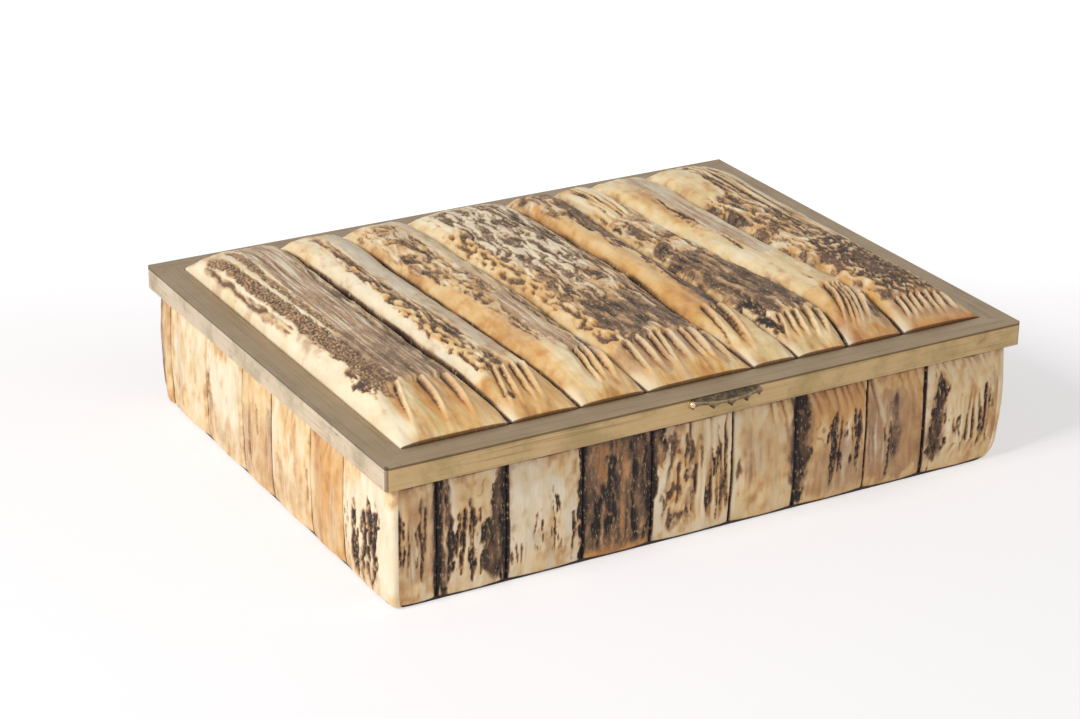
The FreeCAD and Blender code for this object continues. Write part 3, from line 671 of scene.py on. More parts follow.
def layered(x, y, seed, layers=3):
    """Noise with finer and finer layers added to it."""
    total = 0
    size = 1.0
    for layer in range(layers):
        total = total + swell(x / size, y / size, seed + 31 * layer) * size
        size *= 0.5
    return total * 0.7


def step(low, high, value):
    """A smooth step from 0 at the low value to 1 at the high one."""
    share = np.clip((value - low) / (high - low), 0, 1)
    return share * share * (3 - 2 * share)


def eased(value, stations, values):
    """A smooth curve through the values at the stations."""
    stations = np.asarray(stations, float)
    values = np.asarray(values, float)
    slopes = np.gradient(values, stations)
    place = np.clip(np.searchsorted(stations, value, side="right") - 1, 0, len(stations) - 2)
    width = stations[place + 1] - stations[place]
    t = np.clip((value - stations[place]) / width, 0, 1)
    rest = 1 - t
    return (
        values[place] * (1 + 2 * t) * rest * rest
        + slopes[place] * width * t * rest * rest
        + values[place + 1] * t * t * (3 - 2 * t)
        - slopes[place + 1] * width * t * t * rest
    )


# Surface styles: each gives what it does to a slab, x across it and y along it


def swirled(x, y, seed, strength=1.0):
    """Places drawn out of true, so that lines swirl about as they run along."""
    bend = 2.2 * swell(x / 7, y / 15, seed) + 0.9 * swell(x / 2.8, y / 6, seed + 1)
    pull = 3.6 * swell(x / 6, y / 12, seed + 2) + 1.3 * swell(x / 2.5, y / 5, seed + 3)
    return x + strength * bend, y + strength * pull


def burr(x, y, seed):
    """Gnarled bark: swirling folds drawn out along the slab, polished on top."""
    flow_x, flow_y = swirled(x, y, seed + 10)
    fold = swell(flow_x / 2.2, flow_y / 10, seed + 3)
    fold = fold + 0.5 * swell(flow_x / 1.0, flow_y / 4, seed + 4)
    patch = layered(x / 7, y / 18, seed + 7, 3)
    grit = layered(x / 0.8, y / 1.7, seed + 5, 2)
    knob = step(0.34, 0.62, swell(flow_x / 2.3, flow_y / 4.4, seed + 6))
    line = np.exp(-(((fold + 0.14) / 0.09) ** 2))
    return {
        "relief": 0.6 * fold - 0.3 * line + 0.35 * knob + 0.12 * grit + 0.25 * patch - 0.1,
        "bark": np.clip(
            0.3 - 0.46 * fold + 0.3 * line - 0.3 * knob + 0.16 * grit + 0.4 * patch, 0, 0.85,
        ),
        "warmth": 0.4 + 0.35 * layered(x / 4, y / 8, seed + 8, 2) + 0.3 * knob,
        "grey": np.clip(0.3 + 0.6 * layered(x / 5, y / 13, seed + 9, 2) - 0.4 * knob, 0, 1),
        "pale": np.clip(0.75 * step(0.3, 0.75, fold) - 0.4 * patch, 0, 1),
    }


def wrinkle(x, y, seed):
    """Long dark furrows between thin whitish ridges."""
    flow_x, flow_y = swirled(x, y, seed + 10, 0.6)
    lines = swell(flow_x / 1.3, flow_y / 15, seed + 2)
    lines = lines + 0.45 * swell(flow_x / 0.7, flow_y / 6, seed + 3)
    grit = layered(x / 0.8, y / 2, seed + 4, 2)
    ridge = step(0.1, 0.6, lines)
    furrow = step(-0.05, 0.45, -lines)
    return {
        "relief": 0.5 * ridge - 0.6 * furrow + 0.1 * grit - 0.1,
        "bark": np.clip(0.42 + 0.5 * furrow - 0.4 * ridge + 0.2 * grit, 0, 1),
        "warmth": 0.34 + 0.3 * layered(x / 5, y / 9, seed + 5, 2),
        "grey": 0.4 + 0.35 * layered(x / 4, y / 18, seed + 6, 2),
        "pale": 0.7 * step(0.4, 0.8, lines),
    }


def pearl(x, y, seed):
    """Rounded nodules that run into one another, with brown hollows between them."""
    flow_x, flow_y = swirled(x, y, seed + 10, 0.45)
    swelling = swell(flow_x / 1.9, flow_y / 5.2, seed + 3)
    swelling = swelling + 0.35 * swell(flow_x / 0.95, flow_y / 2.4, seed + 4)
    grit = layered(x / 0.8, y / 1.5, seed + 5, 2)
    bead = step(-0.2, 0.14, swelling)
    hollow = step(0.12, 0.5, -swelling)
    return {
        "relief": 0.75 * np.sqrt(bead) - 0.4 * hollow - 0.3 + 0.1 * grit,
        "bark": np.clip(0.42 - 0.44 * bead + 0.26 * hollow + 0.2 * grit, 0, 1),
        "warmth": 0.52 + 0.3 * layered(x / 3, y / 5, seed + 6, 2) - 0.2 * step(0.3, 0.7, swelling),
        "grey": 0.0,
        "pale": 0.55 * step(0.35, 0.8, swelling),
    }


def pitted(x, y, seed):
    """Flat brown bark covered with fine pits and crumbs."""
    grain = layered(x / 0.75, y / 1.3, seed + 1, 2)
    patch = layered(x / 2.2, y / 7, seed + 2, 3)
    crumb = step(0.0, 0.5, grain)
    pit = step(0.05, 0.45, -grain)
    return {
        "relief": -0.45 + 0.3 * crumb - 0.3 * pit + 0.25 * patch,
        "bark": np.clip(0.47 + 0.26 * pit - 0.3 * crumb - 0.25 * patch, 0, 0.85),
        "warmth": 0.4 + 0.2 * patch,
        "grey": 0.55 + 0.3 * patch,
        "pale": 0.3 * step(0.3, 0.7, grain),
    }


def striae(x, y, seed):
    """Fine furrows side by side along the slab, grey-brown with whitish ridges."""
    drift_x = x + 1.1 * layered(x / 9, y / 30, seed + 1, 3)
    lines = swell(drift_x / 0.9, y / 34, seed + 2) + 0.7 * swell(drift_x / 0.45, y / 14, seed + 3)
    patch = layered(x / 3, y / 22, seed + 6, 2)
    grit = layered(x / 0.6, y / 2.5, seed + 4, 2)
    return {
        "relief": 0.24 * lines - 0.12 + 0.05 * grit,
        "bark": np.clip(0.22 - 0.28 * lines + 0.28 * patch + 0.16 * grit, 0, 0.6),
        "warmth": 0.25 + 0.2 * layered(x / 4, y / 12, seed + 5, 2),
        "grey": 0.85 + 0.2 * lines,
        "pale": 0.8 * step(0.3, 0.7, lines - 0.4 * patch),
    }


def flutes(x, y, seed):
    """Ribs along the slab with brown, pitted furrows between them."""
    flow_x, flow_y = swirled(x, y, seed + 10, 0.4)
    rib = swell(flow_x / 1.7, flow_y / 26, seed + 2)
    pit = layered(x / 0.8, y / 2, seed + 4, 2)
    furrow = step(-0.1, 0.45, -rib)
    torn = furrow * step(-0.1, 0.4, swell(x / 2.2, y / 9, seed + 5) + 0.5 * pit)
    return {
        "relief": 0.75 * rib - 0.45 * torn + 0.08 * pit,
        "bark": np.clip(0.02 + 0.26 * furrow + 0.6 * torn + 0.15 * pit * furrow, 0, 1),
        "warmth": 0.26 + 0.34 * furrow,
        "grey": 0.12 + 0.3 * layered(x / 5, y / 20, seed + 6, 2),
        "pale": 0.7 * step(0.1, 0.6, rib),
    }


def streak(x, y, seed):
    """Dark furrows with ragged brown margins in the polished surface."""
    flow_x, flow_y = swirled(x, y, seed + 10, 0.3)
    lens = swell(flow_x / 1.25, flow_y / 24, seed + 2)
    lens = lens + 0.4 * layered(x / 0.9, y / 2.2, seed + 3, 2)
    grit = layered(x / 0.7, y / 1.4, seed + 4, 2)
    halo = step(-0.45, 0.1, lens)
    deep = step(-0.1, 0.3, lens)
    return {
        "cover": halo,
        "relief": -0.75 * deep + 0.2 * grit,
        "bark": np.clip(0.26 + 0.66 * deep + 0.25 * grit * deep, 0, 1),
        "warmth": 0.5 + 0.3 * (halo - deep),
        "grey": 0.2,
        "pale": 0.0,
    }


def blot(x, y, seed):
    """A black hollow with a torn brown rim and a few bright splinters left in it."""
    flow_x, flow_y = swirled(x, y, seed + 10, 0.5)
    tear = layered(flow_x / 1.5, flow_y / 4, seed + 1, 3) + 0.3 * swell(x / 0.8, y / 2, seed + 2)
    deep = step(-0.5, -0.1, tear)
    return {
        "cover": step(-0.75, -0.45, tear),
        "relief": -0.8 * deep + 0.25 * tear,
        "bark": np.clip(0.3 + 0.6 * deep + 0.15 * tear, 0, 1),
        "warmth": 0.6,
        "grey": 0.3,
        "pale": 0.0,
    }


def dashes(x, y, seed):
    """Short dark nicks scattered in rows."""
    drift_x = x + 0.5 * layered(x / 3, y / 5, seed + 1, 2)
    lens = swell(drift_x / 0.9, y / 5.5, seed + 2) + 0.4 * layered(x / 0.6, y / 1.8, seed + 3, 2)
    deep = step(0.14, 0.42, lens)
    return {
        "cover": step(-0.05, 0.3, lens),
        "relief": -0.45 * deep,
        "bark": 0.22 + 0.6 * deep,
        "warmth": 0.5,
        "pale": 0.0,
    }


def bark(x, y, seed):
    """Unpolished dark bark: broad upright folds with torn hollows and warm flecks."""
    flow_x, flow_y = swirled(x, y, seed + 10, 0.7)
    fold = swell(flow_x / 2.4, flow_y / 13, seed + 2)
    fold = fold + 0.5 * swell(flow_x / 1.1, flow_y / 5, seed + 3)
    grain = layered(x / 0.8, y / 1.8, seed + 4, 2)
    torn = step(0.1, 0.45, -fold)
    return {
        "relief": 0.5 * fold + 0.14 * grain - 0.25 - 0.3 * torn,
        "bark": np.clip(0.6 - 0.5 * fold - 0.25 * grain + 0.3 * torn, 0.15, 1),
        "warmth": 0.6 + 0.3 * fold,
        "grey": np.clip(0.3 + 0.5 * layered(x / 4, y / 12, seed + 6, 2), 0, 1),
        "pale": 0.25 * step(0.5, 0.9, fold + 0.3 * grain),
    }


def knot(x, y, seed):
    """Ovals of grain around a raised middle."""
    ring = swell(x / 4.5, y / 6, seed) + 0.12 * layered(x / 2, y / 2.5, seed + 1, 2)
    line = step(0.3, 1.0, np.cos(9 * ring))
    return {
        "relief": 0.25 - 0.5 * line,
        "bark": 0.04 + 0.34 * line,
        "warmth": 0.5,
        "pale": 0.2 * (1 - line),
    }


def crack(x, y, seed):
    """A dark split."""
    return {"relief": -0.8, "bark": 1.0, "pale": 0.0}


def crumbs(x, y, seed):
    """Near-black bark strewn with pale crumbs."""
    flow_x, flow_y = swirled(x, y, seed + 10, 0.5)
    crumb = swell(flow_x / 1.5, flow_y / 2.9, seed + 2)
    crumb = crumb + 0.4 * layered(x / 0.8, y / 1.3, seed + 3, 2)
    bead = step(0.0, 0.4, crumb)
    return {
        "relief": 0.7 * bead - 0.4,
        "bark": np.clip(0.76 - 0.6 * bead + 0.2 * layered(x / 3, y / 6, seed + 4, 2), 0, 1),
        "warmth": 0.4 + 0.3 * layered(x / 3, y / 5, seed + 5, 2),
        "grey": 0.5,
        "pale": 0.7 * step(0.35, 0.7, crumb),
    }


def smoke_and_shade(x, y, seed):
    """A blue-black stain under the polish, also laid as painted shade beside some joints."""
    cloud = layered(x / 3, y / 8, seed, 3)
    return {
        "bark": np.clip(0.66 + 0.5 * cloud, 0, 1),
        "grey": 0.8,
        "pale": 0.0,
    }


def ivory(x, y, seed):
    """A pale stretch."""
    return {"warmth": 0.06 + 0.08 * layered(x / 4, y / 15, seed, 2), "pale": 0.4}


def amber(x, y, seed):
    """A yellow stretch."""
    return {"warmth": 0.62 + 0.16 * layered(x / 4, y / 9, seed, 2), "grey": 0.0}


def orange(x, y, seed):
    """An orange-brown stain."""
    return {"warmth": 0.88 + 0.2 * layered(x / 3, y / 7, seed, 2), "grey": 0.0}


def tawny(x, y, seed):
    """An orange-brown stretch of thin bark."""
    flow_x, flow_y = swirled(x, y, seed + 10, 0.5)
    mottle = layered(flow_x / 1.6, flow_y / 8, seed, 3)
    return {
        "relief": 0.4 * mottle - 0.2,
        "bark": np.clip(0.26 + 0.4 * mottle, 0, 0.7),
        "warmth": 0.9 - 0.2 * mottle,
        "grey": 0.0,
        "pale": 0.0,
    }


def grey(x, y, seed):
    """A greyed stretch."""
    return {"grey": 0.75 + 0.3 * layered(x / 4, y / 16, seed, 2)}


def brown_grey_and_shade(x, y, seed):
    """A brown-grey stretch, used as the antler's own tone and as painted shade on a slab's flank.
    """
    mottle = layered(x / 2, y / 8, seed, 3)
    return {
        "bark": 0.27 + 0.14 * mottle,
        "warmth": 0.4 + 0.2 * mottle,
        "grey": 0.5,
        "pale": 0.0,
    }


STYLES = {
    make.__name__: make
    for make in (
        burr, wrinkle, pearl, pitted, striae, flutes, streak, blot, dashes, crumbs,
        bark, knot, crack, smoke_and_shade, ivory, amber, orange, tawny, grey, brown_grey_and_shade,
    )
}

# How soft and how ragged the edge of a band is, in millimetres
SOFT_STYLES = ("ivory", "amber", "orange", "tawny", "grey", "brown_grey_and_shade", "smoke_and_shade")
SOFT_EDGE = (2.6, 2.4)
TORN_STYLES = ("blot", "streak", "bark", "crumbs")
TORN_EDGE = (0.5, 3.2)
HARD_EDGE = (0.5, 1.5)

# Over how many millimetres a band fades out at its ends
END_FADE = 5.0
BAND_STATIONS = (0.0, 1 / 3, 2 / 3, 1.0)

# How close and how far apart two cuts beside each other count as, in millimetres
CUT_PITCHES = (3.0, 7.0)


class Ground(NamedTuple):
    """The points of a slab's surface: their shares across and along it and their
    places in millimetres, with the slab's left edge, width and length there."""

    share_x: np.ndarray
    share_y: np.ndarray
    x: np.ndarray
    y: np.ndarray
    left: np.ndarray
    width: np.ndarray
    length: float

    def from_side(self):
        """How far each point lies from the nearer side of the slab."""
        return np.minimum(self.share_x, 1 - self.share_x) * self.width

    def from_end(self):
        """How far each point lies from the nearer end of the slab."""
        return np.minimum(self.share_y, 1 - self.share_y) * self.length


def band_weight(band, ground, seed):
    """How strongly a band covers each point, from 0 to 1."""
    share_x, share_y, x, y, _, width, length = ground
    softness, raggedness = HARD_EDGE
    if band.style in SOFT_STYLES:
        softness, raggedness = SOFT_EDGE
    if band.style in TORN_STYLES:
        softness, raggedness = TORN_EDGE
    centre = eased(share_y, BAND_STATIONS, np.broadcast_to(band.centres, 4))
    half = eased(share_y, BAND_STATIONS, np.broadcast_to(band.halves, 4)) * width
    half = np.clip(half, 0, None)
    rag = raggedness * layered(x / 3, y / 7, seed, 4) * np.clip(half / 2, 0.35, 1)
    if band.style in TORN_STYLES:
        rag = rag + 1.3 * swell(y / 9, 0.5, seed + 4) * np.clip(half / 3, 0, 1)
    softness = np.minimum(softness, 0.25 + half)
    across = half - np.abs(share_x - centre) * width + rag
    rag_end = 3 * raggedness * layered(x / 4, y / 9, seed + 9, 3)
    low, high = band.reach
    start = share_y * length - low * length + rag_end * (low > 0)
    end = high * length - share_y * length + rag_end * (high < 1)
    weight = step(-softness, softness, across) * step(0, END_FADE, start)
    return weight * step(0, END_FADE, end) * band.strength * step(0, 0.3, half)


def carve_cuts(layers, cuts, ground, seed):
    """Facets lapped like shingles: each one sinks to the right into a cut, darkened as painted
    shade, and beyond the cut the next one stands up with an edge given a painted highlight."""
    _, share_y, x, y, left, width, length = ground
    pitch = width * (cuts.places[-1] - cuts.places[0]) / max(len(cuts.places) - 1, 1)
    pitch = np.clip(pitch, *CUT_PITCHES)
    low, high = cuts.reach
    run = (share_y - low) / (high - low)
    drop = (high - share_y) * length
    contrast = min(cuts.depth / 1.2, 1)
    for number, place in enumerate(cuts.places):
        jitter = lattice(number, 3, seed)
        vigour = contrast * (0.65 + 0.35 * lattice(number, 4, seed))
        up = np.clip(run / (0.8 + 0.3 * jitter), 0, 1)
        taper = step(0, 0.6, up) * (1 - step(0.96, 1.04, run))
        bend = 0.7 * np.sin(run * 2.5 + jitter * 4)
        shift = 0.22 * pitch * (lattice(number, 5, seed) * 2 - 1)
        line = left + place * width + shift - cuts.drift * drop * (0.7 + 0.6 * jitter) + bend
        beside = x - line + 0.35 * layered(x / 2, y / 4, seed + 40 + number, 2)
        sink = step(0.7, 0.0, beside) * np.clip(1 + beside / pitch, 0, 1)
        # Painted highlight along the raised edge beyond the cut
        lip = np.exp(-(((beside - 0.95) / 0.7) ** 2))
        layers["relief"] += cuts.depth * taper * (0.3 * lip - sink)
        # Painted shade in the cut and on the facet's tail before it
        core = np.exp(-(((beside + 0.05 + 0.3 * up) / (0.2 + 0.45 * up ** 2)) ** 2))
        core = contrast * taper * (0.5 + 0.5 * up) * core
        shade = step(0.5, 0.0, beside) * np.clip(1 + beside / (0.7 * pitch), 0, 1)
        shade = vigour * taper * shade
        layers["bark"] = np.maximum(layers["bark"] * (1 - lip * taper), 0.3 * shade)
        layers["bark"] = np.maximum(layers["bark"], core)
        layers["pale"] = np.maximum(layers["pale"] * (1 - shade), 0.45 * vigour * taper * lip)
        layers["warmth"] += 0.3 * shade


def paint_slab(look, ground, seed):
    """The relief in millimetres and the four marks of a slab's surface."""
    x, y = ground.x, ground.y
    cloud = layered(x / 9, y / 24, seed + 1, 3)
    growth = layered(x / 2 + 0.3 * cloud, y / 30, seed + 3, 2)
    mottle = layered(x / 3, y / 5, seed + 5, 3)
    nick = swell(x / 0.8, y / 5, seed + 8) + 0.5 * layered(x / 5, y / 12, seed + 9, 2)
    nick = step(0.62, 0.85, nick)
    warmth = eased(ground.share_y, BAND_STATIONS, look.warmth)
    layers = {
        "relief": 0.5 * layered(x / 6, y / 24, seed + 2, 3) + 0.16 * growth - 0.1 * nick,
        "bark": np.clip(0.06 + 0.1 * growth + 0.2 * cloud + 0.18 * mottle, 0, 0.3) + 0.08 * nick,
        "warmth": warmth + 0.26 * cloud + 0.2 * mottle,
        "grey": np.clip(0.5 * layered(x / 7, y / 18, seed + 4, 3), 0, 1),
        "pale": np.clip(-0.35 * growth - 0.12, 0, 0.35),
    }
    made = {}
    for number, band in enumerate(look.bands):
        if band.style not in made:
            made[band.style] = STYLES[band.style](x, y, seed + 50)
        style = made[band.style]
        weight = band_weight(band, ground, seed + 100 + 13 * number) * style.get("cover", 1)
        for key in layers:
            if key in style:
                layers[key] = layers[key] * (1 - weight) + style[key] * weight
    for cuts in look.cuts:
        carve_cuts(layers, cuts, ground, seed + 7)
    return layers


def joint_dirt_and_shade(layers, edge, along, seed, reach):
    """Blackens a slab in an uneven line along a joint, as dirt and painted shade in the joint, and
    browns it beside the line as painted shade.
    """
    line = reach * (1 + 0.9 * layered(along / 14, 0.3, seed, 3))
    black = 1 - step(line, line + 0.45, edge)
    brown = (0.06 + 0.45 * reach) * np.exp(-edge / 1.1)
    layers["bark"] = np.maximum(layers["bark"] + brown, black)
    layers["pale"] = layers["pale"] * (1 - black) * (1 - brown)


def marks_of(layers):
    """The four marks of a slab's surface as one array."""
    names = ("bark", "warmth", "grey", "pale")
    return np.stack([np.clip(layers[name], 0, 1) for name in names], axis=-1)


# Meshes


def empty_grid(columns, rows):
    """A grid of square cells as a bmesh, and each point's shares across and along."""
    bm = bmesh.new()
    bmesh.ops.create_grid(bm, x_segments=columns, y_segments=rows, size=0.5)
    bm.verts.ensure_lookup_table()
    places = np.array([v.co for v in bm.verts]).reshape(rows + 1, columns + 1, 3)
    return bm, places[..., 0] + 0.5, places[..., 1] + 0.5


def raised(points, relief):
    """The points of a grid, pushed out along its surface by the relief."""
    across = np.gradient(points, axis=1)
    along = np.gradient(points, axis=0)
    outward = np.cross(across, along)
    outward /= np.linalg.norm(outward, axis=-1, keepdims=True)
    return points + outward * relief[..., None]


def made_object(bm, name, material):
    """An object of the scene with a bmesh as its mesh."""
    mesh = bpy.data.meshes.new(name)
    bm.to_mesh(mesh)
    bm.free()
    mesh.materials.append(material)
    made = bpy.data.objects.new(name, mesh)
    bpy.context.scene.collection.objects.link(made)
    return made


def finish_piece(bm, name, body, nodes, material):
    """Turns a bmesh into a finished piece that rides on its body."""
    piece = made_object(bm, name, material)
    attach(piece, body)
    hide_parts(*nodes)
    return piece


def carved(points, look, ground, seed, side_fade, end_fade):
    """A slab's points with its relief on them, and the layers of its surface."""
    layers = paint_slab(look, ground, seed)
    relief = layers["relief"] * settings("antler_slab_sizes").relief
    relief = relief * step(*side_fade, ground.from_side()) * step(*end_fade, ground.from_end())
    return raised(points, relief), layers


def close_slab(bm, points, layers, ground, depth, seat, turn):
    """Moves a grid's points, writes the marks on them and closes the slab behind. The
    depth is where the slab lies in the pattern that its material reads."""
    shades = bm.verts.layers.float_color.new("marks")
    places = bm.verts.layers.float_vector.new("place")
    place = np.stack([ground.x, ground.y, np.full(ground.x.shape, depth)], axis=-1)
    flat_points = points.reshape(-1, 3) * MM
    flat_marks = marks_of(layers).reshape(-1, 4)
    flat_places = place.reshape(-1, 3) * MM
    for vert, point, shade, spot in zip(bm.verts, flat_points, flat_marks, flat_places):
        vert.co = point
        vert[shades] = shade
        vert[places] = spot
    for face in bm.faces:
        face.smooth = True
    rim = [edge for edge in bm.edges if edge.is_boundary]
    made = bmesh.ops.extrude_edge_only(bm, edges=rim)["geom"]
    for item in made:
        if isinstance(item, bmesh.types.BMVert):
            item.co = seat(item.co)
    for edge in rim:
        edge.smooth = False
    back = [item for item in made if isinstance(item, bmesh.types.BMEdge) and item.is_boundary]
    bmesh.ops.contextual_create(bm, geom=back)
    bmesh.ops.recalc_face_normals(bm, faces=bm.faces)
    bmesh.ops.rotate(bm, cent=(0, 0, 0), matrix=Matrix.Rotation(turn, 3, "Z"), verts=bm.verts)


def lid_joint(number, along, sizes):
    """The line of a joint between lid slabs, in millimetres, at shares along it."""
    half = LID_HIGH[0]
    if number in (0, len(LID_JOINTS) + 1):
        return np.full(along.shape, half if number else -half)
    line = eased(along * 2 - 1, LID_JOINT_STATIONS, LID_JOINTS[number - 1]) * half
    return line + sizes.wander / MM * layered(along * 9 + number * 17.3, number, 400)


def lid_slab(number, material):
    """One slab of the lid, counted from the left."""
    sizes = settings("antler_slab_sizes")
    name = "lid_slab_" + str(number + 1)
    last = len(LID_JOINTS)
    length = LID_HIGH[1] - LID_LOW[1]
    cell = sizes.cell / MM
    joint = sizes.joint / MM / 2
    middle = np.array([0.5])
    widest = (lid_joint(number + 1, middle, sizes) - lid_joint(number, middle, sizes))[0]
    bm, share_x, share_y = empty_grid(round(widest / cell), round(length / cell))
    gape = step(*GAPE_OPENS, share_y) * (1 - step(*GAPE_CLOSES, share_y))
    left = lid_joint(number, share_y, sizes) + (joint if number else 0)
    right = lid_joint(number + 1, share_y, sizes) - (joint if number < last else 0)
    left = left + LID_GAPES[number] * gape
    right = right - LID_GAPES[number + 1] * gape
    width = right - left
    x = left + share_x * width
    y = LID_LOW[1] + share_y * length
    ground = Ground(share_x, share_y, x, y, left, width, length)

    across = share_x * 2 - 1
    across = across + LID_LEAN * math.sin(number * 2.1) * (1 - across ** 2)
    outer = (number == last) & (across > 0)
    shoulder = np.where(outer, OUTER_SHOULDER, sizes.shoulder)
    rise = (LID_HIGH[2] - BORDER_TOP) * LID_SWELLS[number]
    crest = eased(share_y * 2 - 1, LID_STATIONS, LID_CRESTS) * rise
    crest = crest * (1 + LID_ROLL * swell(y / 45, number * 3.7, 77))
    profile = np.clip(1 - np.abs(across) ** shoulder, 0, 1) ** LID_ROUNDING
    height = BORDER_TOP + crest * (sizes.groove + (1 - sizes.groove) * profile)
    points = np.stack([x, y, height], axis=-1)
    points, layers = carved(
        points, LID_LOOKS[number], ground, 1000 + 100 * number, (-0.2, 1.4), (-0.2, 1.2),
    )
    lowest, highest = BOARD_TOP + LID_FOOT_CLEARANCE, LID_HIGH[2] + LID_CREST_SPARE
    points[..., 2] = np.clip(points[..., 2], lowest, highest)

    tip = step(0.8, 1.0, 1 - share_x) * step(0.9, 1.0, 1 - share_y)
    layers["bark"] = layers["bark"] * (1 - tip)
    layers["pale"] = np.maximum(layers["pale"], tip)
    # Painted shade along the joints: faint at the slab's left edge, strong at its right edge, the
    # side away from the light
    if number > 0:
        joint_dirt_and_shade(layers, share_x * width, y, 411 + number, 0.15)
    if number < last:
        joint_dirt_and_shade(layers, (1 - share_x) * width, y, 421 + number, 0.6)
    # A painted shadow line where the slab's ends meet the frame
    end_shade_line = 0.4 * (1 - step(0.0, 0.3, ground.from_end()))
    layers["bark"] = np.maximum(layers["bark"], end_shade_line)
    floor = BOARD_TOP * MM

    def to_board(co):
        return Vector((co.x, co.y, floor))

    close_slab(bm, points, layers, ground, 10.0 * number, to_board, 0)
    finish_piece(bm, "antler_" + name, "lid", [name], material)


class Face(NamedTuple):
    """One side of the box, described as if it were the front one. Its joint_dark_widths say how
    wide the dark line and painted shade of each joint are, and its skirt_shade how strong the
    painted shadow under the skirt is."""

    name: str
    turn: float
    joints: tuple
    looks: tuple
    half: float
    seat: float
    top: float
    depths: tuple
    left_depths: tuple
    right_depths: tuple
    wraps: bool
    joint_dark_widths: tuple
    skirt_shade: float


def wall_faces():
    """The four sides of the box."""
    wide = WALL_HIGH[0]
    deep = WALL_HIGH[1]
    straight = STRAIGHT_DEPTHS
    tucked = TUCKED_DEPTHS
    return (
        Face(
            "front", 0, FRONT_JOINTS, FRONT_LOOKS, half=wide, seat=deep, top=SLAB_TOP,
            depths=straight, left_depths=straight, right_depths=tucked, wraps=False,
            joint_dark_widths=(0, 0.75, 0.95, 0.6, 0.6, 0.25, 0.7, 0.02, 0.55, 0), skirt_shade=0.9,
        ),
        Face(
            "right", math.pi / 2, RIGHT_JOINTS, RIGHT_LOOKS, half=deep, seat=wide, top=SLAB_TOP,
            depths=tucked, left_depths=straight, right_depths=tucked, wraps=True,
            joint_dark_widths=(0, 0.3, 0.5, 0.2, 0.4, 0.1, 0.4, 0), skirt_shade=0.6,
        ),
        Face(
            "back", math.pi, BACK_JOINTS, BACK_LOOKS, half=wide, seat=deep, top=BACK_TOP,
            depths=tucked, left_depths=tucked, right_depths=straight, wraps=False,
            joint_dark_widths=(0, 0.5, 0.2, 0.7, 0.3, 0.5, 0.1, 0.5, 0.3, 0), skirt_shade=0.7,
        ),
        Face(
            "left", 1.5 * math.pi, LEFT_JOINTS, LEFT_LOOKS, half=deep, seat=wide, top=SLAB_TOP,
            depths=straight, left_depths=tucked, right_depths=straight, wraps=True,
            joint_dark_widths=(0, 0.05, 0, 0, 0.08, 0, 0, 0), skirt_shade=0.15,
        ),
    )


def wall_end(face, share_y, side, joint):
    """Where a face ends at a corner of the box, in millimetres along it: at its left
    where the side is -1, at its right where it is 1."""
    shape = face.left_depths if side < 0 else face.right_depths
    beside = SLAB_THICKNESS * eased(share_y, WALL_STATIONS, shape)
    if face.wraps:
        return side * (face.half + beside)
    return side * (face.half + beside * (1 - CORNER_WRAP) - joint)


def rounding(reach, radius):
    """How far a rounded edge has dropped at a distance in from it, as a share of its
    radius."""
    small = np.clip(1 - reach / radius, 0, 1)
    return 1 - np.sqrt(1 - small ** 2)


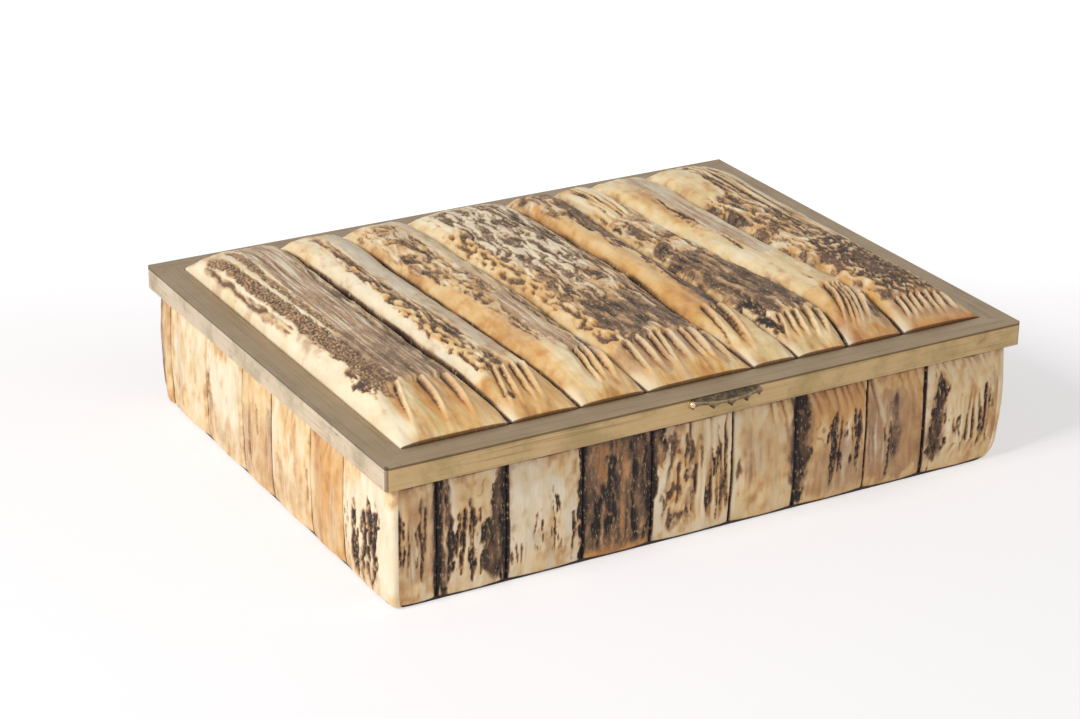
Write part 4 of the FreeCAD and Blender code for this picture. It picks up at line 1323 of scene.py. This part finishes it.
def wall_slab(face, number, material):
    """One slab of a side of the box, counted from the left as seen from outside."""
    sizes = settings("antler_slab_sizes")
    name = face.name + "_slab_" + str(number + 1)
    seed = 5000 + 1000 * int(face.turn * 2) + 70 * number
    last = len(face.joints)
    clad_half = face.half + SLAB_THICKNESS
    cell = sizes.cell / MM
    joint = sizes.joint / MM / 2
    wander = 0.3 * sizes.wander / MM
    edge_radius = sizes.wall_edge / MM
    length = face.top - SLAB_FOOT
    near, far = (-1, *face.joints, 1)[number:number + 2]
    bm, share_x, share_y = empty_grid(round((far - near) * clad_half / cell), round(length / cell))

    def border(side, index, place):
        if index in (0, last + 1):
            return wall_end(face, share_y, side, joint)
        stray = wander * layered(share_y * 5, index, seed // 70)
        return place * clad_half - side * joint + stray

    left = border(-1, number, near)
    width = border(1, number + 1, far) - left
    across = share_x * width
    x = left + across
    z = SLAB_FOOT + share_y * length
    ground = Ground(share_x, share_y, x, z, left, width, length)

    depth = SLAB_THICKNESS * eased(share_y, WALL_STATIONS, face.depths)
    radius = np.minimum(SLAB_THICKNESS * CORNER_WRAP, depth * 0.9)
    inset = np.zeros(share_x.shape)
    along = x
    for side, at_end in ((-1, number == 0), (1, number == last)):
        from_edge = across if side < 0 else width - across
        if at_end and face.wraps:
            turn = np.clip(1 - from_edge / (radius * WRAP_SPREAD), 0, 1) * math.pi / 2
            inset = inset + radius * (1 - np.cos(turn))
            shift = from_edge - radius * (1 - np.sin(turn))
            along = np.where(turn > 0, along + side * shift, along)
        else:
            inset = inset + edge_radius * 0.75 * rounding(from_edge, edge_radius)
    for from_end in (z - SLAB_FOOT, face.top - z):
        inset = inset + edge_radius * 0.5 * rounding(from_end, edge_radius)
    bulge = WALL_BULGE * (1 - np.abs(share_x * 2 - 1) ** 2) - 0.2
    out = depth - 0.5 + bulge - inset
    points = np.stack([along, -face.seat - out, z], axis=-1)
    points, layers = carved(
        points, face.looks[number], ground, seed, (-0.3, 1.2), (-0.3, 1.0),
    )

    # Painted shadow of the skirt: a soft darkening below it and a dark line just under its foot,
    # stronger on the faces that lie in shade
    line = 0.7 * np.exp(-(((z - SKIRT_SHADOW_HEIGHT) / SKIRT_SHADOW_HALF) ** 2))
    layers["bark"] = layers["bark"] + face.skirt_shade * (0.12 * step(*SHADE_HEIGHTS, z) + line)
    # Painted shade along the joints, lighter at a slab's left edge than at its right
    if number > 0:
        joint_dirt_and_shade(layers, across, z, 431 + number, 0.5 * face.joint_dark_widths[number])
    if number < last:
        joint_dirt_and_shade(layers, width - across, z, 441 + number, face.joint_dark_widths[number + 1])
    seat = -face.seat * MM
    limit = face.half * MM

    def to_wall(co):
        return Vector((min(max(co.x, -limit), limit), seat, co.z))

    pattern_depth = 200.0 + 10 * number + 100 * face.turn
    close_slab(bm, points, layers, ground, pattern_depth, to_wall, face.turn)
    finish_piece(bm, "antler_" + name, "box", [name], material)


# Materials


class Value:
    """A number in a material, so that its sums read as sums."""

    def __init__(self, nodes, socket):
        self.nodes = nodes
        self.socket = socket

    def sum(self, operation, first, second):
        return self.nodes.add(
            "ShaderNodeMath", {0: first, 1: second}, operation=operation
        ).value()

    def __add__(self, other):
        return self.sum("ADD", self, other)

    def __radd__(self, other):
        return self.sum("ADD", other, self)

    def __sub__(self, other):
        return self.sum("SUBTRACT", self, other)

    def __rsub__(self, other):
        return self.sum("SUBTRACT", other, self)

    def __mul__(self, other):
        return self.sum("MULTIPLY", self, other)

    def __abs__(self):
        return self.sum("ABSOLUTE", self, 0.0)


class Node:
    """A node of a material, whose outputs are read by name or number."""

    def __init__(self, nodes, node):
        self.nodes = nodes
        self.node = node

    def out(self, name=0):
        return self.node.outputs[name]

    def value(self, name=0):
        return Value(self.nodes, self.node.outputs[name])


class Nodes:
    """The nodes of one material or world."""

    def __init__(self, owner):
        owner.use_nodes = True
        self.tree = owner.node_tree
        self.tree.nodes.clear()

    def add(self, kind, sockets=None, **choices):
        """Adds a node, with its choices set first and then its sockets."""
        node = self.tree.nodes.new(kind)
        for name, choice in choices.items():
            if name == "stops":
                self.set_stops(node.color_ramp, choice)
            else:
                setattr(node, name, choice)
        for name, given in (sockets or {}).items():
            socket = node.inputs[name]
            if isinstance(given, Value):
                given = given.socket
            if isinstance(given, bpy.types.NodeSocket):
                self.tree.links.new(given, socket)
            elif socket.type == "RGBA" and len(given) == 3:
                socket.default_value = (*given, 1)
            else:
                socket.default_value = given
        return Node(self, node)

    def set_stops(self, ramp, stops):
        """Gives a colour ramp its stops."""
        while len(ramp.elements) < len(stops):
            ramp.elements.new(1)
        for element, (place, shade) in zip(ramp.elements, stops):
            element.position = place
            element.color = (*shade, 1)

    def noise(self, vector, scale, detail, roughness):
        """Soft noise from 0 to 1 at a vector stretched by a scale a side."""
        stretched = self.add("ShaderNodeVectorMath", {0: vector, 1: scale}, operation="MULTIPLY")
        return self.add(
            "ShaderNodeTexNoise",
            {"Vector": stretched.out(), "Scale": 1.0, "Detail": detail, "Roughness": roughness},
            noise_dimensions="3D",
        ).value("Fac")

    def ramp(self, value, stops):
        """A colour read off a row of stops."""
        return self.add("ShaderNodeValToRGB", {"Fac": value}, stops=stops).out("Color")

    def rise(self, value, low, high):
        """A smooth step from 0 to 1 between two values."""
        return self.add(
            "ShaderNodeMapRange",
            {"Value": value, "From Min": low, "From Max": high},
            interpolation_type="SMOOTHSTEP",
        ).value()

    def mix(self, share, first, second):
        """A mix of two colours."""
        return self.add(
            "ShaderNodeMix",
            {0: share, 6: first, 7: second},
            data_type="RGBA", clamp_factor=True,
        ).out(2)

    def shader(self, sockets, height, distance, strength):
        """The surface, with a bump that follows a height."""
        bump = self.add(
            "ShaderNodeBump", {"Strength": strength, "Distance": distance, "Height": height}
        )
        surface = self.add("ShaderNodeBsdfPrincipled", dict(sockets, Normal=bump.out()))
        self.add("ShaderNodeOutputMaterial", {"Surface": surface.out()})


def new_material(name):
    """A new material, its nodes, and the Object coordinates that its patterns read."""
    material = bpy.data.materials.new(name)
    nodes = Nodes(material)
    return material, nodes, nodes.add("ShaderNodeTexCoord").out("Object")


def drawn_out(along, across, lengthwise):
    """Scales of a noise that is drawn out along one axis."""
    return tuple(lengthwise if axis == along else across for axis in range(3))


def antler_material():
    """Polished and weathered antler, steered by each slab's own marks."""
    tints = settings("antler_colours")
    material = bpy.data.materials.new("sawn_antler")
    nodes = Nodes(material)
    marks = nodes.add("ShaderNodeAttribute", attribute_name="marks")
    place = nodes.add("ShaderNodeAttribute", attribute_name="place").out("Vector")
    parts = nodes.add("ShaderNodeSeparateColor", {0: marks.out("Color")})
    bark_mark = parts.value(0)
    warmth = parts.value(1)
    grey_mark = parts.value(2)
    pale = marks.value("Alpha")
    fibre = nodes.noise(place, (1400, 120, 300), 4.0, 0.6)
    fine = nodes.noise(place, (4200, 500, 300), 2.0, 0.5)
    cloud = nodes.noise(place, (260, 90, 300), 3.0, 0.5)
    grit = nodes.noise(place, (2600, 1700, 300), 3.0, 0.65)
    olive = nodes.noise(place, (150, 70, 300), 3.0, 0.6)
    worn = nodes.noise(place, (1500, 420, 300), 3.0, 0.6)

    heat = warmth + (cloud - 0.5) * 0.45 + (fibre - 0.5) * 0.12
    core = nodes.ramp(
        heat, ((0.0, tints.ivory), (0.3, tints.cream), (0.66, tints.ochre), (1.0, tints.rust))
    )
    mossy = nodes.mix(nodes.rise(olive, 0.5, 0.75) * 0.45, core, tints.moss)
    greyed = nodes.mix(grey_mark * 0.75 + (fine - 0.5) * 0.3, mossy, tints.ash)
    rim = nodes.rise(bark_mark, 0.06, 0.26) * (1 - nodes.rise(bark_mark, 0.3, 0.6))
    stained = nodes.mix(rim * 0.4, greyed, tints.rust)
    bright = nodes.mix(pale * 0.85, stained, tints.ivory)
    fibres = nodes.rise(fibre, 0.54, 0.74) * (1 - pale) * 0.08
    streaked = nodes.mix(fibres, bright, tints.bark)

    hollows = nodes.rise(bark_mark + (grit - 0.5) * 0.6, 0.45, 0.95)
    crust = nodes.mix(hollows, tints.bark, tints.pitch)
    # Pale flecks on the bark crust: worn crests and painted glints
    worn_and_glinting_crust = nodes.mix(nodes.rise(worn, 0.56, 0.7) * 0.55, crust, tints.cream)
    share = nodes.rise(bark_mark + (grit - 0.5) * 0.3, 0.14, 0.56)
    colour = nodes.mix(share, streaked, worn_and_glinting_crust)
    roughness = 0.32 + bark_mark * 0.36 + (grit - 0.5) * 0.18
    height = (fibre - 0.5) * 0.35 + (fine - 0.5) * 0.2 + (grit - 0.5) * (0.15 + bark_mark * 1.8)
    nodes.shader(
        {"Base Color": colour, "Roughness": roughness, "Specular IOR Level": 0.5},
        height, 0.14 * MM, 1.0,
    )
    return material


def brass_material(name, along, colour, sheen):
    """Aged brass, brushed along one axis, with a worn skirt under a darker border, whose darkness
    is patina and painted shade, and a dark line of tarnish and painted shade at the rounded edge,
    with tarnish at the corners of the frame."""
    tints = settings("antler_fittings")
    material, nodes, place = new_material(name)
    brushed = nodes.noise(place, drawn_out(along, 1500.0, 30.0), 3.0, 0.6)
    cloud = nodes.noise(place, (60, 60, 60), 4.0, 0.6)
    spots = nodes.noise(place, (420, 420, 420), 3.0, 0.6)
    axes = nodes.add("ShaderNodeSeparateXYZ", {0: place})
    height = axes.value(2) + (brushed - 0.5) * 0.3 * MM
    # The top of the border gets a darker brass: patina and painted shade
    top = nodes.rise(height, *((BORDER_TOP - drop) * MM for drop in BORDER_FADE))
    base = nodes.mix(top, colour, tints.border)
    shaded = nodes.mix((cloud - 0.35) * 0.45, base, tints.tarnish)
    lined = nodes.mix(nodes.rise(brushed, 0.5, 0.8) * 0.4, shaded, tints.tarnish)
    spotted = nodes.mix(nodes.rise(spots, 0.66, 0.78) * 0.4, lined, tints.tarnish)
    cast = nodes.rise(cloud + (spots - 0.5) * 0.3, 0.46, 0.66) * (1 - top)
    patched = nodes.mix(cast * 0.35, spotted, tints.patina)
    # Dark line at the rounded edge under the border: tarnish and painted shade
    edge = nodes.rise(height, *((BORDER_TOP - drop) * MM for drop in EDGE_TARNISH_AND_SHADE)) * (1 - top)
    dark = nodes.mix(edge * 0.75, patched, tints.tarnish)
    seam = 0.6
    for axis, inset in enumerate(SEAM_INSETS):
        line = BORDER_HIGH[axis] - inset
        reach = ((line - SEAM_HALF) * MM, (line + SEAM_HALF) * MM)
        seam = nodes.rise(abs(axes.value(axis)), *reach) * seam
    seamed = nodes.mix(seam, dark, tints.tarnish)
    roughness = sheen + (brushed - 0.5) * 0.26 + (cloud - 0.5) * 0.24
    nodes.shader(
        {"Base Color": seamed, "Metallic": 0.8, "Roughness": roughness},
        (brushed - 0.5) + (spots - 0.5) * 0.4, 0.04 * MM, 0.7,
    )
    return material


def thumb_material():
    """The thumb piece's brass: dark film on top, made bright at its rim and beads by wear and by a
    painted highlight.
    """
    tints = settings("antler_fittings")
    material, nodes, place = new_material("thumb_brass")
    marks = nodes.add("ShaderNodeAttribute", attribute_name="marks").out("Color")
    parts = nodes.add("ShaderNodeSeparateColor", {0: marks})
    film = parts.value(0)
    wear_and_highlight = parts.value(1)
    cloud = nodes.noise(place, (500, 500, 500), 4.0, 0.65)
    grain = nodes.noise(place, (2600, 2600, 2600), 3.0, 0.6)
    base = nodes.mix(film * 0.8 + 0.32 + (cloud - 0.5) * 0.9, tints.skirt, tints.tarnish)
    rubbed = nodes.mix(wear_and_highlight * 0.9 + (grain - 0.5) * 0.3, base, tints.rubbed)
    roughness = 0.46 - wear_and_highlight * 0.26 + (cloud - 0.5) * 0.2
    nodes.shader(
        {"Base Color": rubbed, "Metallic": 0.8, "Roughness": roughness}, grain, 0.05 * MM, 0.8,
    )
    return material


def wood_material(name, colour, along, ring, painted_shade_above=None):
    """Planed wood with its grain along one axis, painted black above a given height as shade."""
    material, nodes, place = new_material(name)
    bands = nodes.noise(place, drawn_out(along, ring, ring * 0.06), 4.0, 0.6)
    pores = nodes.noise(place, drawn_out(along, 3000.0, 120.0), 2.0, 0.5)
    dark = tuple(part * 0.42 for part in colour)
    pale = tuple(min(part * 1.35, 1) for part in colour)
    base = nodes.ramp(bands, ((0.3, dark), (0.5, tuple(colour)), (0.72, pale)))
    streaked = nodes.mix(nodes.rise(pores, 0.55, 0.75) * 0.5, base, dark)
    # Painted shade: black above the given height
    if painted_shade_above:
        height = nodes.add("ShaderNodeSeparateXYZ", {0: place}).value(2)
        black = tuple(part * 0.03 for part in colour)
        streaked = nodes.mix(nodes.rise(height, painted_shade_above - 0.2 * MM, painted_shade_above), streaked, black)
    nodes.shader(
        {"Base Color": streaked, "Roughness": 0.5 + (pores - 0.5) * 0.3},
        pores - bands * 0.5, 0.1 * MM, 0.5,
    )
    return material


def baize_material():
    """Short-napped cloth."""
    tints = settings("antler_fittings")
    material, nodes, place = new_material("felted_baize")
    nap = nodes.noise(place, (2500, 2500, 2500), 3.0, 0.7)
    cloud = nodes.noise(place, (90, 90, 90), 3.0, 0.5)
    light = tuple(min(part * 2.2 + 0.01, 1) for part in tints.baize)
    share = nodes.rise(nap, 0.4, 0.75) * 0.6 + (cloud - 0.5) * 0.3
    colour = nodes.mix(share, tints.baize, light)
    nodes.shader(
        {"Base Color": colour, "Roughness": 0.92, "Sheen Weight": 0.4}, nap, 0.3 * MM, 0.8,
    )
    return material


def give(material, *nodes):
    """Gives CAD nodes a better material."""
    for node in nodes:
        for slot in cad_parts[node].material_slots:
            slot.material = material


# Operators


class LidSlabs(bpy.types.Operator):
    """Build the eight antler slabs of the lid"""

    bl_idname = "antler_box.lid_slabs"
    bl_label = "Lid slabs"

    def execute(self, context):
        material = bpy.data.materials.get("sawn_antler") or antler_material()
        for number in range(len(LID_LOOKS)):
            lid_slab(number, material)
        return {"FINISHED"}


class WallSlabs(bpy.types.Operator):
    """Build the antler slabs of the four sides"""

    bl_idname = "antler_box.wall_slabs"
    bl_label = "Wall slabs"

    def execute(self, context):
        material = bpy.data.materials.get("sawn_antler") or antler_material()
        for face in wall_faces():
            for number in range(len(face.joints) + 1):
                wall_slab(face, number, material)
        return {"FINISHED"}


class ThumbPiece(bpy.types.Operator):
    """Build the scalloped thumb piece with a bead at either end"""

    bl_idname = "antler_box.thumb_piece"
    bl_label = "Thumb piece"

    def execute(self, context):
        bm, around, along = empty_grid(*THUMB_CELLS)
        shades = bm.verts.layers.float_color.new("marks")
        self.sweep_lip(bm, shades, around, along)
        for x in (THUMB_LEFT, THUMB_RIGHT):
            self.add_bead(bm, shades, x)
        bmesh.ops.recalc_face_normals(bm, faces=bm.faces)
        for face in bm.faces:
            face.smooth = True
        finish_piece(bm, "scalloped_lip", "lid", ["thumb_piece"], thumb_material())
        return {"FINISHED"}

    def sweep_lip(self, bm, shades, around, along):
        """A bar bowed outwards, whose underside is a row of arches."""
        bow = 1 - (along * 2 - 1) ** 2
        reach = THUMB_END_REACH + (THUMB_REACH - THUMB_END_REACH) * bow
        arch = along * THUMB_ARCHES % 1 * 2 - 1
        arch = np.clip(1 - np.abs(arch) ** THUMB_ARCH_POWER, 0, 1)
        high = THUMB_HIGH[2]
        low = THUMB_LOW[2] + THUMB_CUSP_DROP * np.sqrt(arch)
        out = np.cos(around * math.tau)
        up = np.sin(around * math.tau)
        depth = (reach + THUMB_SINK) / 2
        forward = depth * (1 + np.sign(out) * np.abs(out) ** THUMB_ROUNDING) - THUMB_SINK
        share = np.clip(forward / reach, 0, 1)
        rounded = np.sign(up) * np.abs(up) ** THUMB_ROUNDING
        z = (low + high) / 2 + (high - low) / 2 * rounded
        z = z - THUMB_SLOPE * share * (z - low) / (high - low)
        x = THUMB_LEFT + (THUMB_RIGHT - THUMB_LEFT) * along
        y = BORDER_LOW[1] - forward
        # The rim is worn bright and given a painted highlight
        rim = np.exp(-(((forward - reach) / THUMB_RIM) ** 2)) * step(-0.7, 0.7, up)
        dent = layered(x / 1.5, forward / 1.2, 77, 3)
        z = z + THUMB_DENT * dent * step(0.2, 0.8, up)
        points = np.stack([x, y, z], axis=-1).reshape(-1, 3) * MM
        film = np.clip(0.75 - 0.25 * rim + 0.3 * dent, 0, 1).reshape(-1)
        for vert, point, dark, rim_wear_and_highlight in zip(bm.verts, points, film, rim.reshape(-1)):
            vert.co = point
            vert[shades] = (dark, 0.25 * rim_wear_and_highlight, 0, 1)
        bmesh.ops.remove_doubles(bm, verts=bm.verts, dist=0.001 * MM)
        ends = [edge for edge in bm.edges if edge.is_boundary]
        bmesh.ops.holes_fill(bm, edges=ends)

    def add_bead(self, bm, shades, x):
        """A round bead at one end of the lip; the left one is rubbed bright with a painted
        highlight.
        """
        height = (THUMB_LOW[2] + THUMB_HIGH[2]) / 2
        place = Vector((x, BORDER_LOW[1] - THUMB_END_REACH / 2, height)) * MM
        made = bmesh.ops.create_uvsphere(
            bm, u_segments=32, v_segments=20, radius=THUMB_BEAD * MM,
            matrix=Matrix.Translation(place),
        )
        for vert in made["verts"]:
            # The left bead is painted bright as a highlight, the right one left darker
            vert[shades] = (0.1, 1, 0, 1) if x < 0 else (0.7, 0.2, 0, 1)


class BrassFrame(bpy.types.Operator):
    """Finish the brass frame of the lid"""

    bl_idname = "antler_box.brass_frame"
    bl_label = "Brass frame"

    def execute(self, context):
        tints = settings("antler_fittings")
        # The left and right rails get the paler end brass, painted lighter as lit sides
        sides = ((("front", "back"), tints.skirt), (("left", "right"), tints.ends))
        for along, (rails, colour) in enumerate(sides):
            material = brass_material("frame_brass_" + "xy"[along], along, colour, 0.42)
            give(material, *("lid_rail_" + rail for rail in rails))
        return {"FINISHED"}


class Hinge(bpy.types.Operator):
    """Finish the long hinge, its pin and its screws"""

    bl_idname = "antler_box.hinge"
    bl_label = "Hinge"

    def execute(self, context):
        tints = settings("antler_fittings")
        material = brass_material("hinge_brass", 0, tints.hinge, 0.34)
        give(
            material, "hinge_lid_leaf", "hinge_body_leaf", "hinge_pin", "lid_hinge_screws",
            "body_hinge_screws",
        )
        return {"FINISHED"}


class Woodwork(bpy.types.Operator):
    """Finish the cedar walls and boards and the walnut panels"""

    bl_idname = "antler_box.woodwork"
    bl_label = "Woodwork"

    def execute(self, context):
        tints = settings("antler_fittings")
        cedar = tints.cedar
        # The lid board's top is painted black as shade seen in the gaps between the lid slabs
        give(wood_material("cedar_lid", cedar, 0, 220, BOARD_TOP * MM), "lid_board")
        give(wood_material("cedar_long", cedar, 0, 220), "base_board", "wall_front", "wall_back")
        give(wood_material("cedar_cross", cedar, 1, 220), "wall_left", "wall_right")
        give(wood_material("walnut", tints.walnut, 0, 300), "lid_lining", "floor_lining")
        return {"FINISHED"}


class Baize(bpy.types.Operator):
    """Lay the baize under the base"""

    bl_idname = "antler_box.baize"
    bl_label = "Baize"

    def execute(self, context):
        bm, share_x, share_y = empty_grid(*BAIZE_CELLS)
        size = BAIZE_HIGH - BAIZE_LOW
        x = BAIZE_LOW[0] + BAIZE_INSET + share_x * (size[0] - 2 * BAIZE_INSET)
        y = BAIZE_LOW[1] + share_y * size[1]
        power_x, power_y = BAIZE_CORNER_POWERS
        corner = np.abs(share_x * 2 - 1) ** power_x * np.abs(share_y * 2 - 1) ** power_y
        x = x - corner * BAIZE_CORNER * np.sign(share_x - 0.5)
        y = y - corner * BAIZE_CORNER * np.sign(share_y - 0.5)
        nap = BAIZE_NAP * layered(x / 6, y / 6, 900)
        low = BAIZE_LIFT + np.clip(nap, -BAIZE_NAP, BAIZE_NAP)
        points = np.stack([x, y, low], axis=-1).reshape(-1, 3) * MM
        for vert, point in zip(bm.verts, points):
            vert.co = point
        top = BAIZE_HIGH[2] * MM
        for item in bmesh.ops.extrude_face_region(bm, geom=list(bm.faces))["geom"]:
            if isinstance(item, bmesh.types.BMVert):
                item.co.z = top
        bmesh.ops.recalc_face_normals(bm, faces=bm.faces)
        piece = finish_piece(bm, "baize_pad", "box", ["base_baize"], baize_material())
        return {"FINISHED"}


class Stage(bpy.types.Operator):
    """Set up the floor, the lamps and the camera"""

    bl_idname = "antler_box.stage"
    bl_label = "Stage"

    def execute(self, context):
        stage = settings("antler_stage")
        self.lay_floor(stage)
        self.light_world(context, stage)
        self.add_lamp("key", KEY_PLACE, KEY_SIZE, stage.key_power)
        self.add_lamp("fill", FILL_PLACE, FILL_SIZE, stage.fill_power)
        self.aim(context, stage)
        context.scene.view_settings.view_transform = "Standard"
        return {"FINISHED"}

    def lay_floor(self, stage):
        """A wide floor that shows as lit paper near the box and glows white beyond."""
        material, nodes, place = new_material("floor")
        seen = nodes.add("ShaderNodeLightPath").value("Is Camera Ray")
        paper = nodes.add("ShaderNodeBsdfDiffuse", {"Color": stage.floor})
        glow = nodes.add("ShaderNodeEmission", {"Color": (1, 1, 1), "Strength": GLOW_STRENGTH})
        ahead = (math.sin(stage.heading), math.cos(stage.heading), 0)
        far = nodes.add("ShaderNodeVectorMath", {0: place, 1: ahead}, operation="DOT_PRODUCT")
        haze = nodes.rise(far.value("Value"), *HAZE_REACH)
        share = seen * (GLOW_SHARE + haze * (1 - GLOW_SHARE))
        mixed = nodes.add("ShaderNodeMixShader", {0: share, 1: paper.out(), 2: glow.out()})
        nodes.add("ShaderNodeOutputMaterial", {"Surface": mixed.out()})
        bm = bmesh.new()
        bmesh.ops.create_grid(bm, x_segments=8, y_segments=8, size=FLOOR_HALF)
        floor = made_object(bm, "floor", material)

    def light_world(self, context, stage):
        """White all round for the camera, dimmer in mirrors and dimmest as light."""
        context.scene.world = bpy.data.worlds.new("studio")
        nodes = Nodes(context.scene.world)
        path = nodes.add("ShaderNodeLightPath")
        direct = path.value("Is Camera Ray") + path.value("Is Transmission Ray")
        mirrored = path.value("Is Glossy Ray") * (MIRRORED_SKY - stage.sky)
        level = stage.sky + direct * (1 - stage.sky) + mirrored
        back = nodes.add("ShaderNodeBackground", {"Color": (1, 1, 1), "Strength": level})
        nodes.add("ShaderNodeOutputWorld", {"Surface": back.out()})

    def add_lamp(self, name, place, size, power):
        """A square lamp that faces the middle of the box's foot."""
        light = bpy.data.lights.new(name, "AREA")
        light.shape = "RECTANGLE"
        light.size, light.size_y = size
        light.energy = power
        lamp = bpy.data.objects.new(name, light)
        bpy.context.scene.collection.objects.link(lamp)
        lamp.location = place
        lamp.rotation_euler = (-Vector(place)).to_track_quat("-Z", "Y").to_euler()

    def aim(self, context, stage):
        """The camera, at the angle of the photograph."""
        yaw = stage.heading
        tilt = stage.pitch
        ahead = Vector((
            math.cos(tilt) * math.sin(yaw), math.cos(tilt) * math.cos(yaw), math.sin(tilt),
        ))
        side = Vector((math.cos(yaw), -math.sin(yaw), 0))
        over = side.cross(ahead)
        right = side * math.cos(stage.roll) + over * math.sin(stage.roll)
        up = over * math.cos(stage.roll) - side * math.sin(stage.roll)
        camera = bpy.data.objects.new("camera", bpy.data.cameras.new("camera"))
        context.scene.collection.objects.link(camera)
        turn = Matrix((right, up, -ahead)).transposed().to_4x4()
        camera.matrix_world = Matrix.Translation(stage.place) @ turn
        camera.data.sensor_width = 36
        camera.data.lens = stage.lens
        context.scene.camera = camera


PIECES = (LidSlabs, WallSlabs, BrassFrame, ThumbPiece, Hinge, Woodwork, Baize, Stage)
GROUPS = {
    "antler_slab_sizes": SlabSizes,
    "antler_colours": AntlerColours,
    "antler_fittings": FittingColours,
    "antler_stage": StageSettings,
}


class AntlerBoxPanel(bpy.types.Panel):
    """Lists the pieces of the box and their sizes and colours"""

    bl_idname = "VIEW3D_PT_antler_box"
    bl_label = "Antler Box"
    bl_space_type = "VIEW_3D"
    bl_region_type = "UI"
    bl_category = "Antler Box"

    def draw(self, context):
        for operator in PIECES:
            self.layout.operator(operator.bl_idname)
        for name, group in GROUPS.items():
            box = self.layout.box()
            for field in group.__annotations__:
                box.prop(getattr(context.scene, name), field)


def register():
    for group in GROUPS.values():
        bpy.utils.register_class(group)
    for name, group in GROUPS.items():
        setattr(bpy.types.Scene, name, bpy.props.PointerProperty(type=group))
    for operator in PIECES:
        bpy.utils.register_class(operator)
    bpy.utils.register_class(AntlerBoxPanel)


def unregister():
    bpy.utils.unregister_class(AntlerBoxPanel)
    for operator in reversed(PIECES):
        bpy.utils.unregister_class(operator)
    for name in GROUPS:
        delattr(bpy.types.Scene, name)
    for group in reversed(GROUPS.values()):
        bpy.utils.unregister_class(group)


def main():
    register()
    bpy.ops.antler_box.lid_slabs()
    bpy.ops.antler_box.wall_slabs()
    bpy.ops.antler_box.brass_frame()
    bpy.ops.antler_box.thumb_piece()
    bpy.ops.antler_box.hinge()
    bpy.ops.antler_box.woodwork()
    bpy.ops.antler_box.baize()
    bpy.ops.antler_box.stage()


if __name__ == "__main__":
    main()
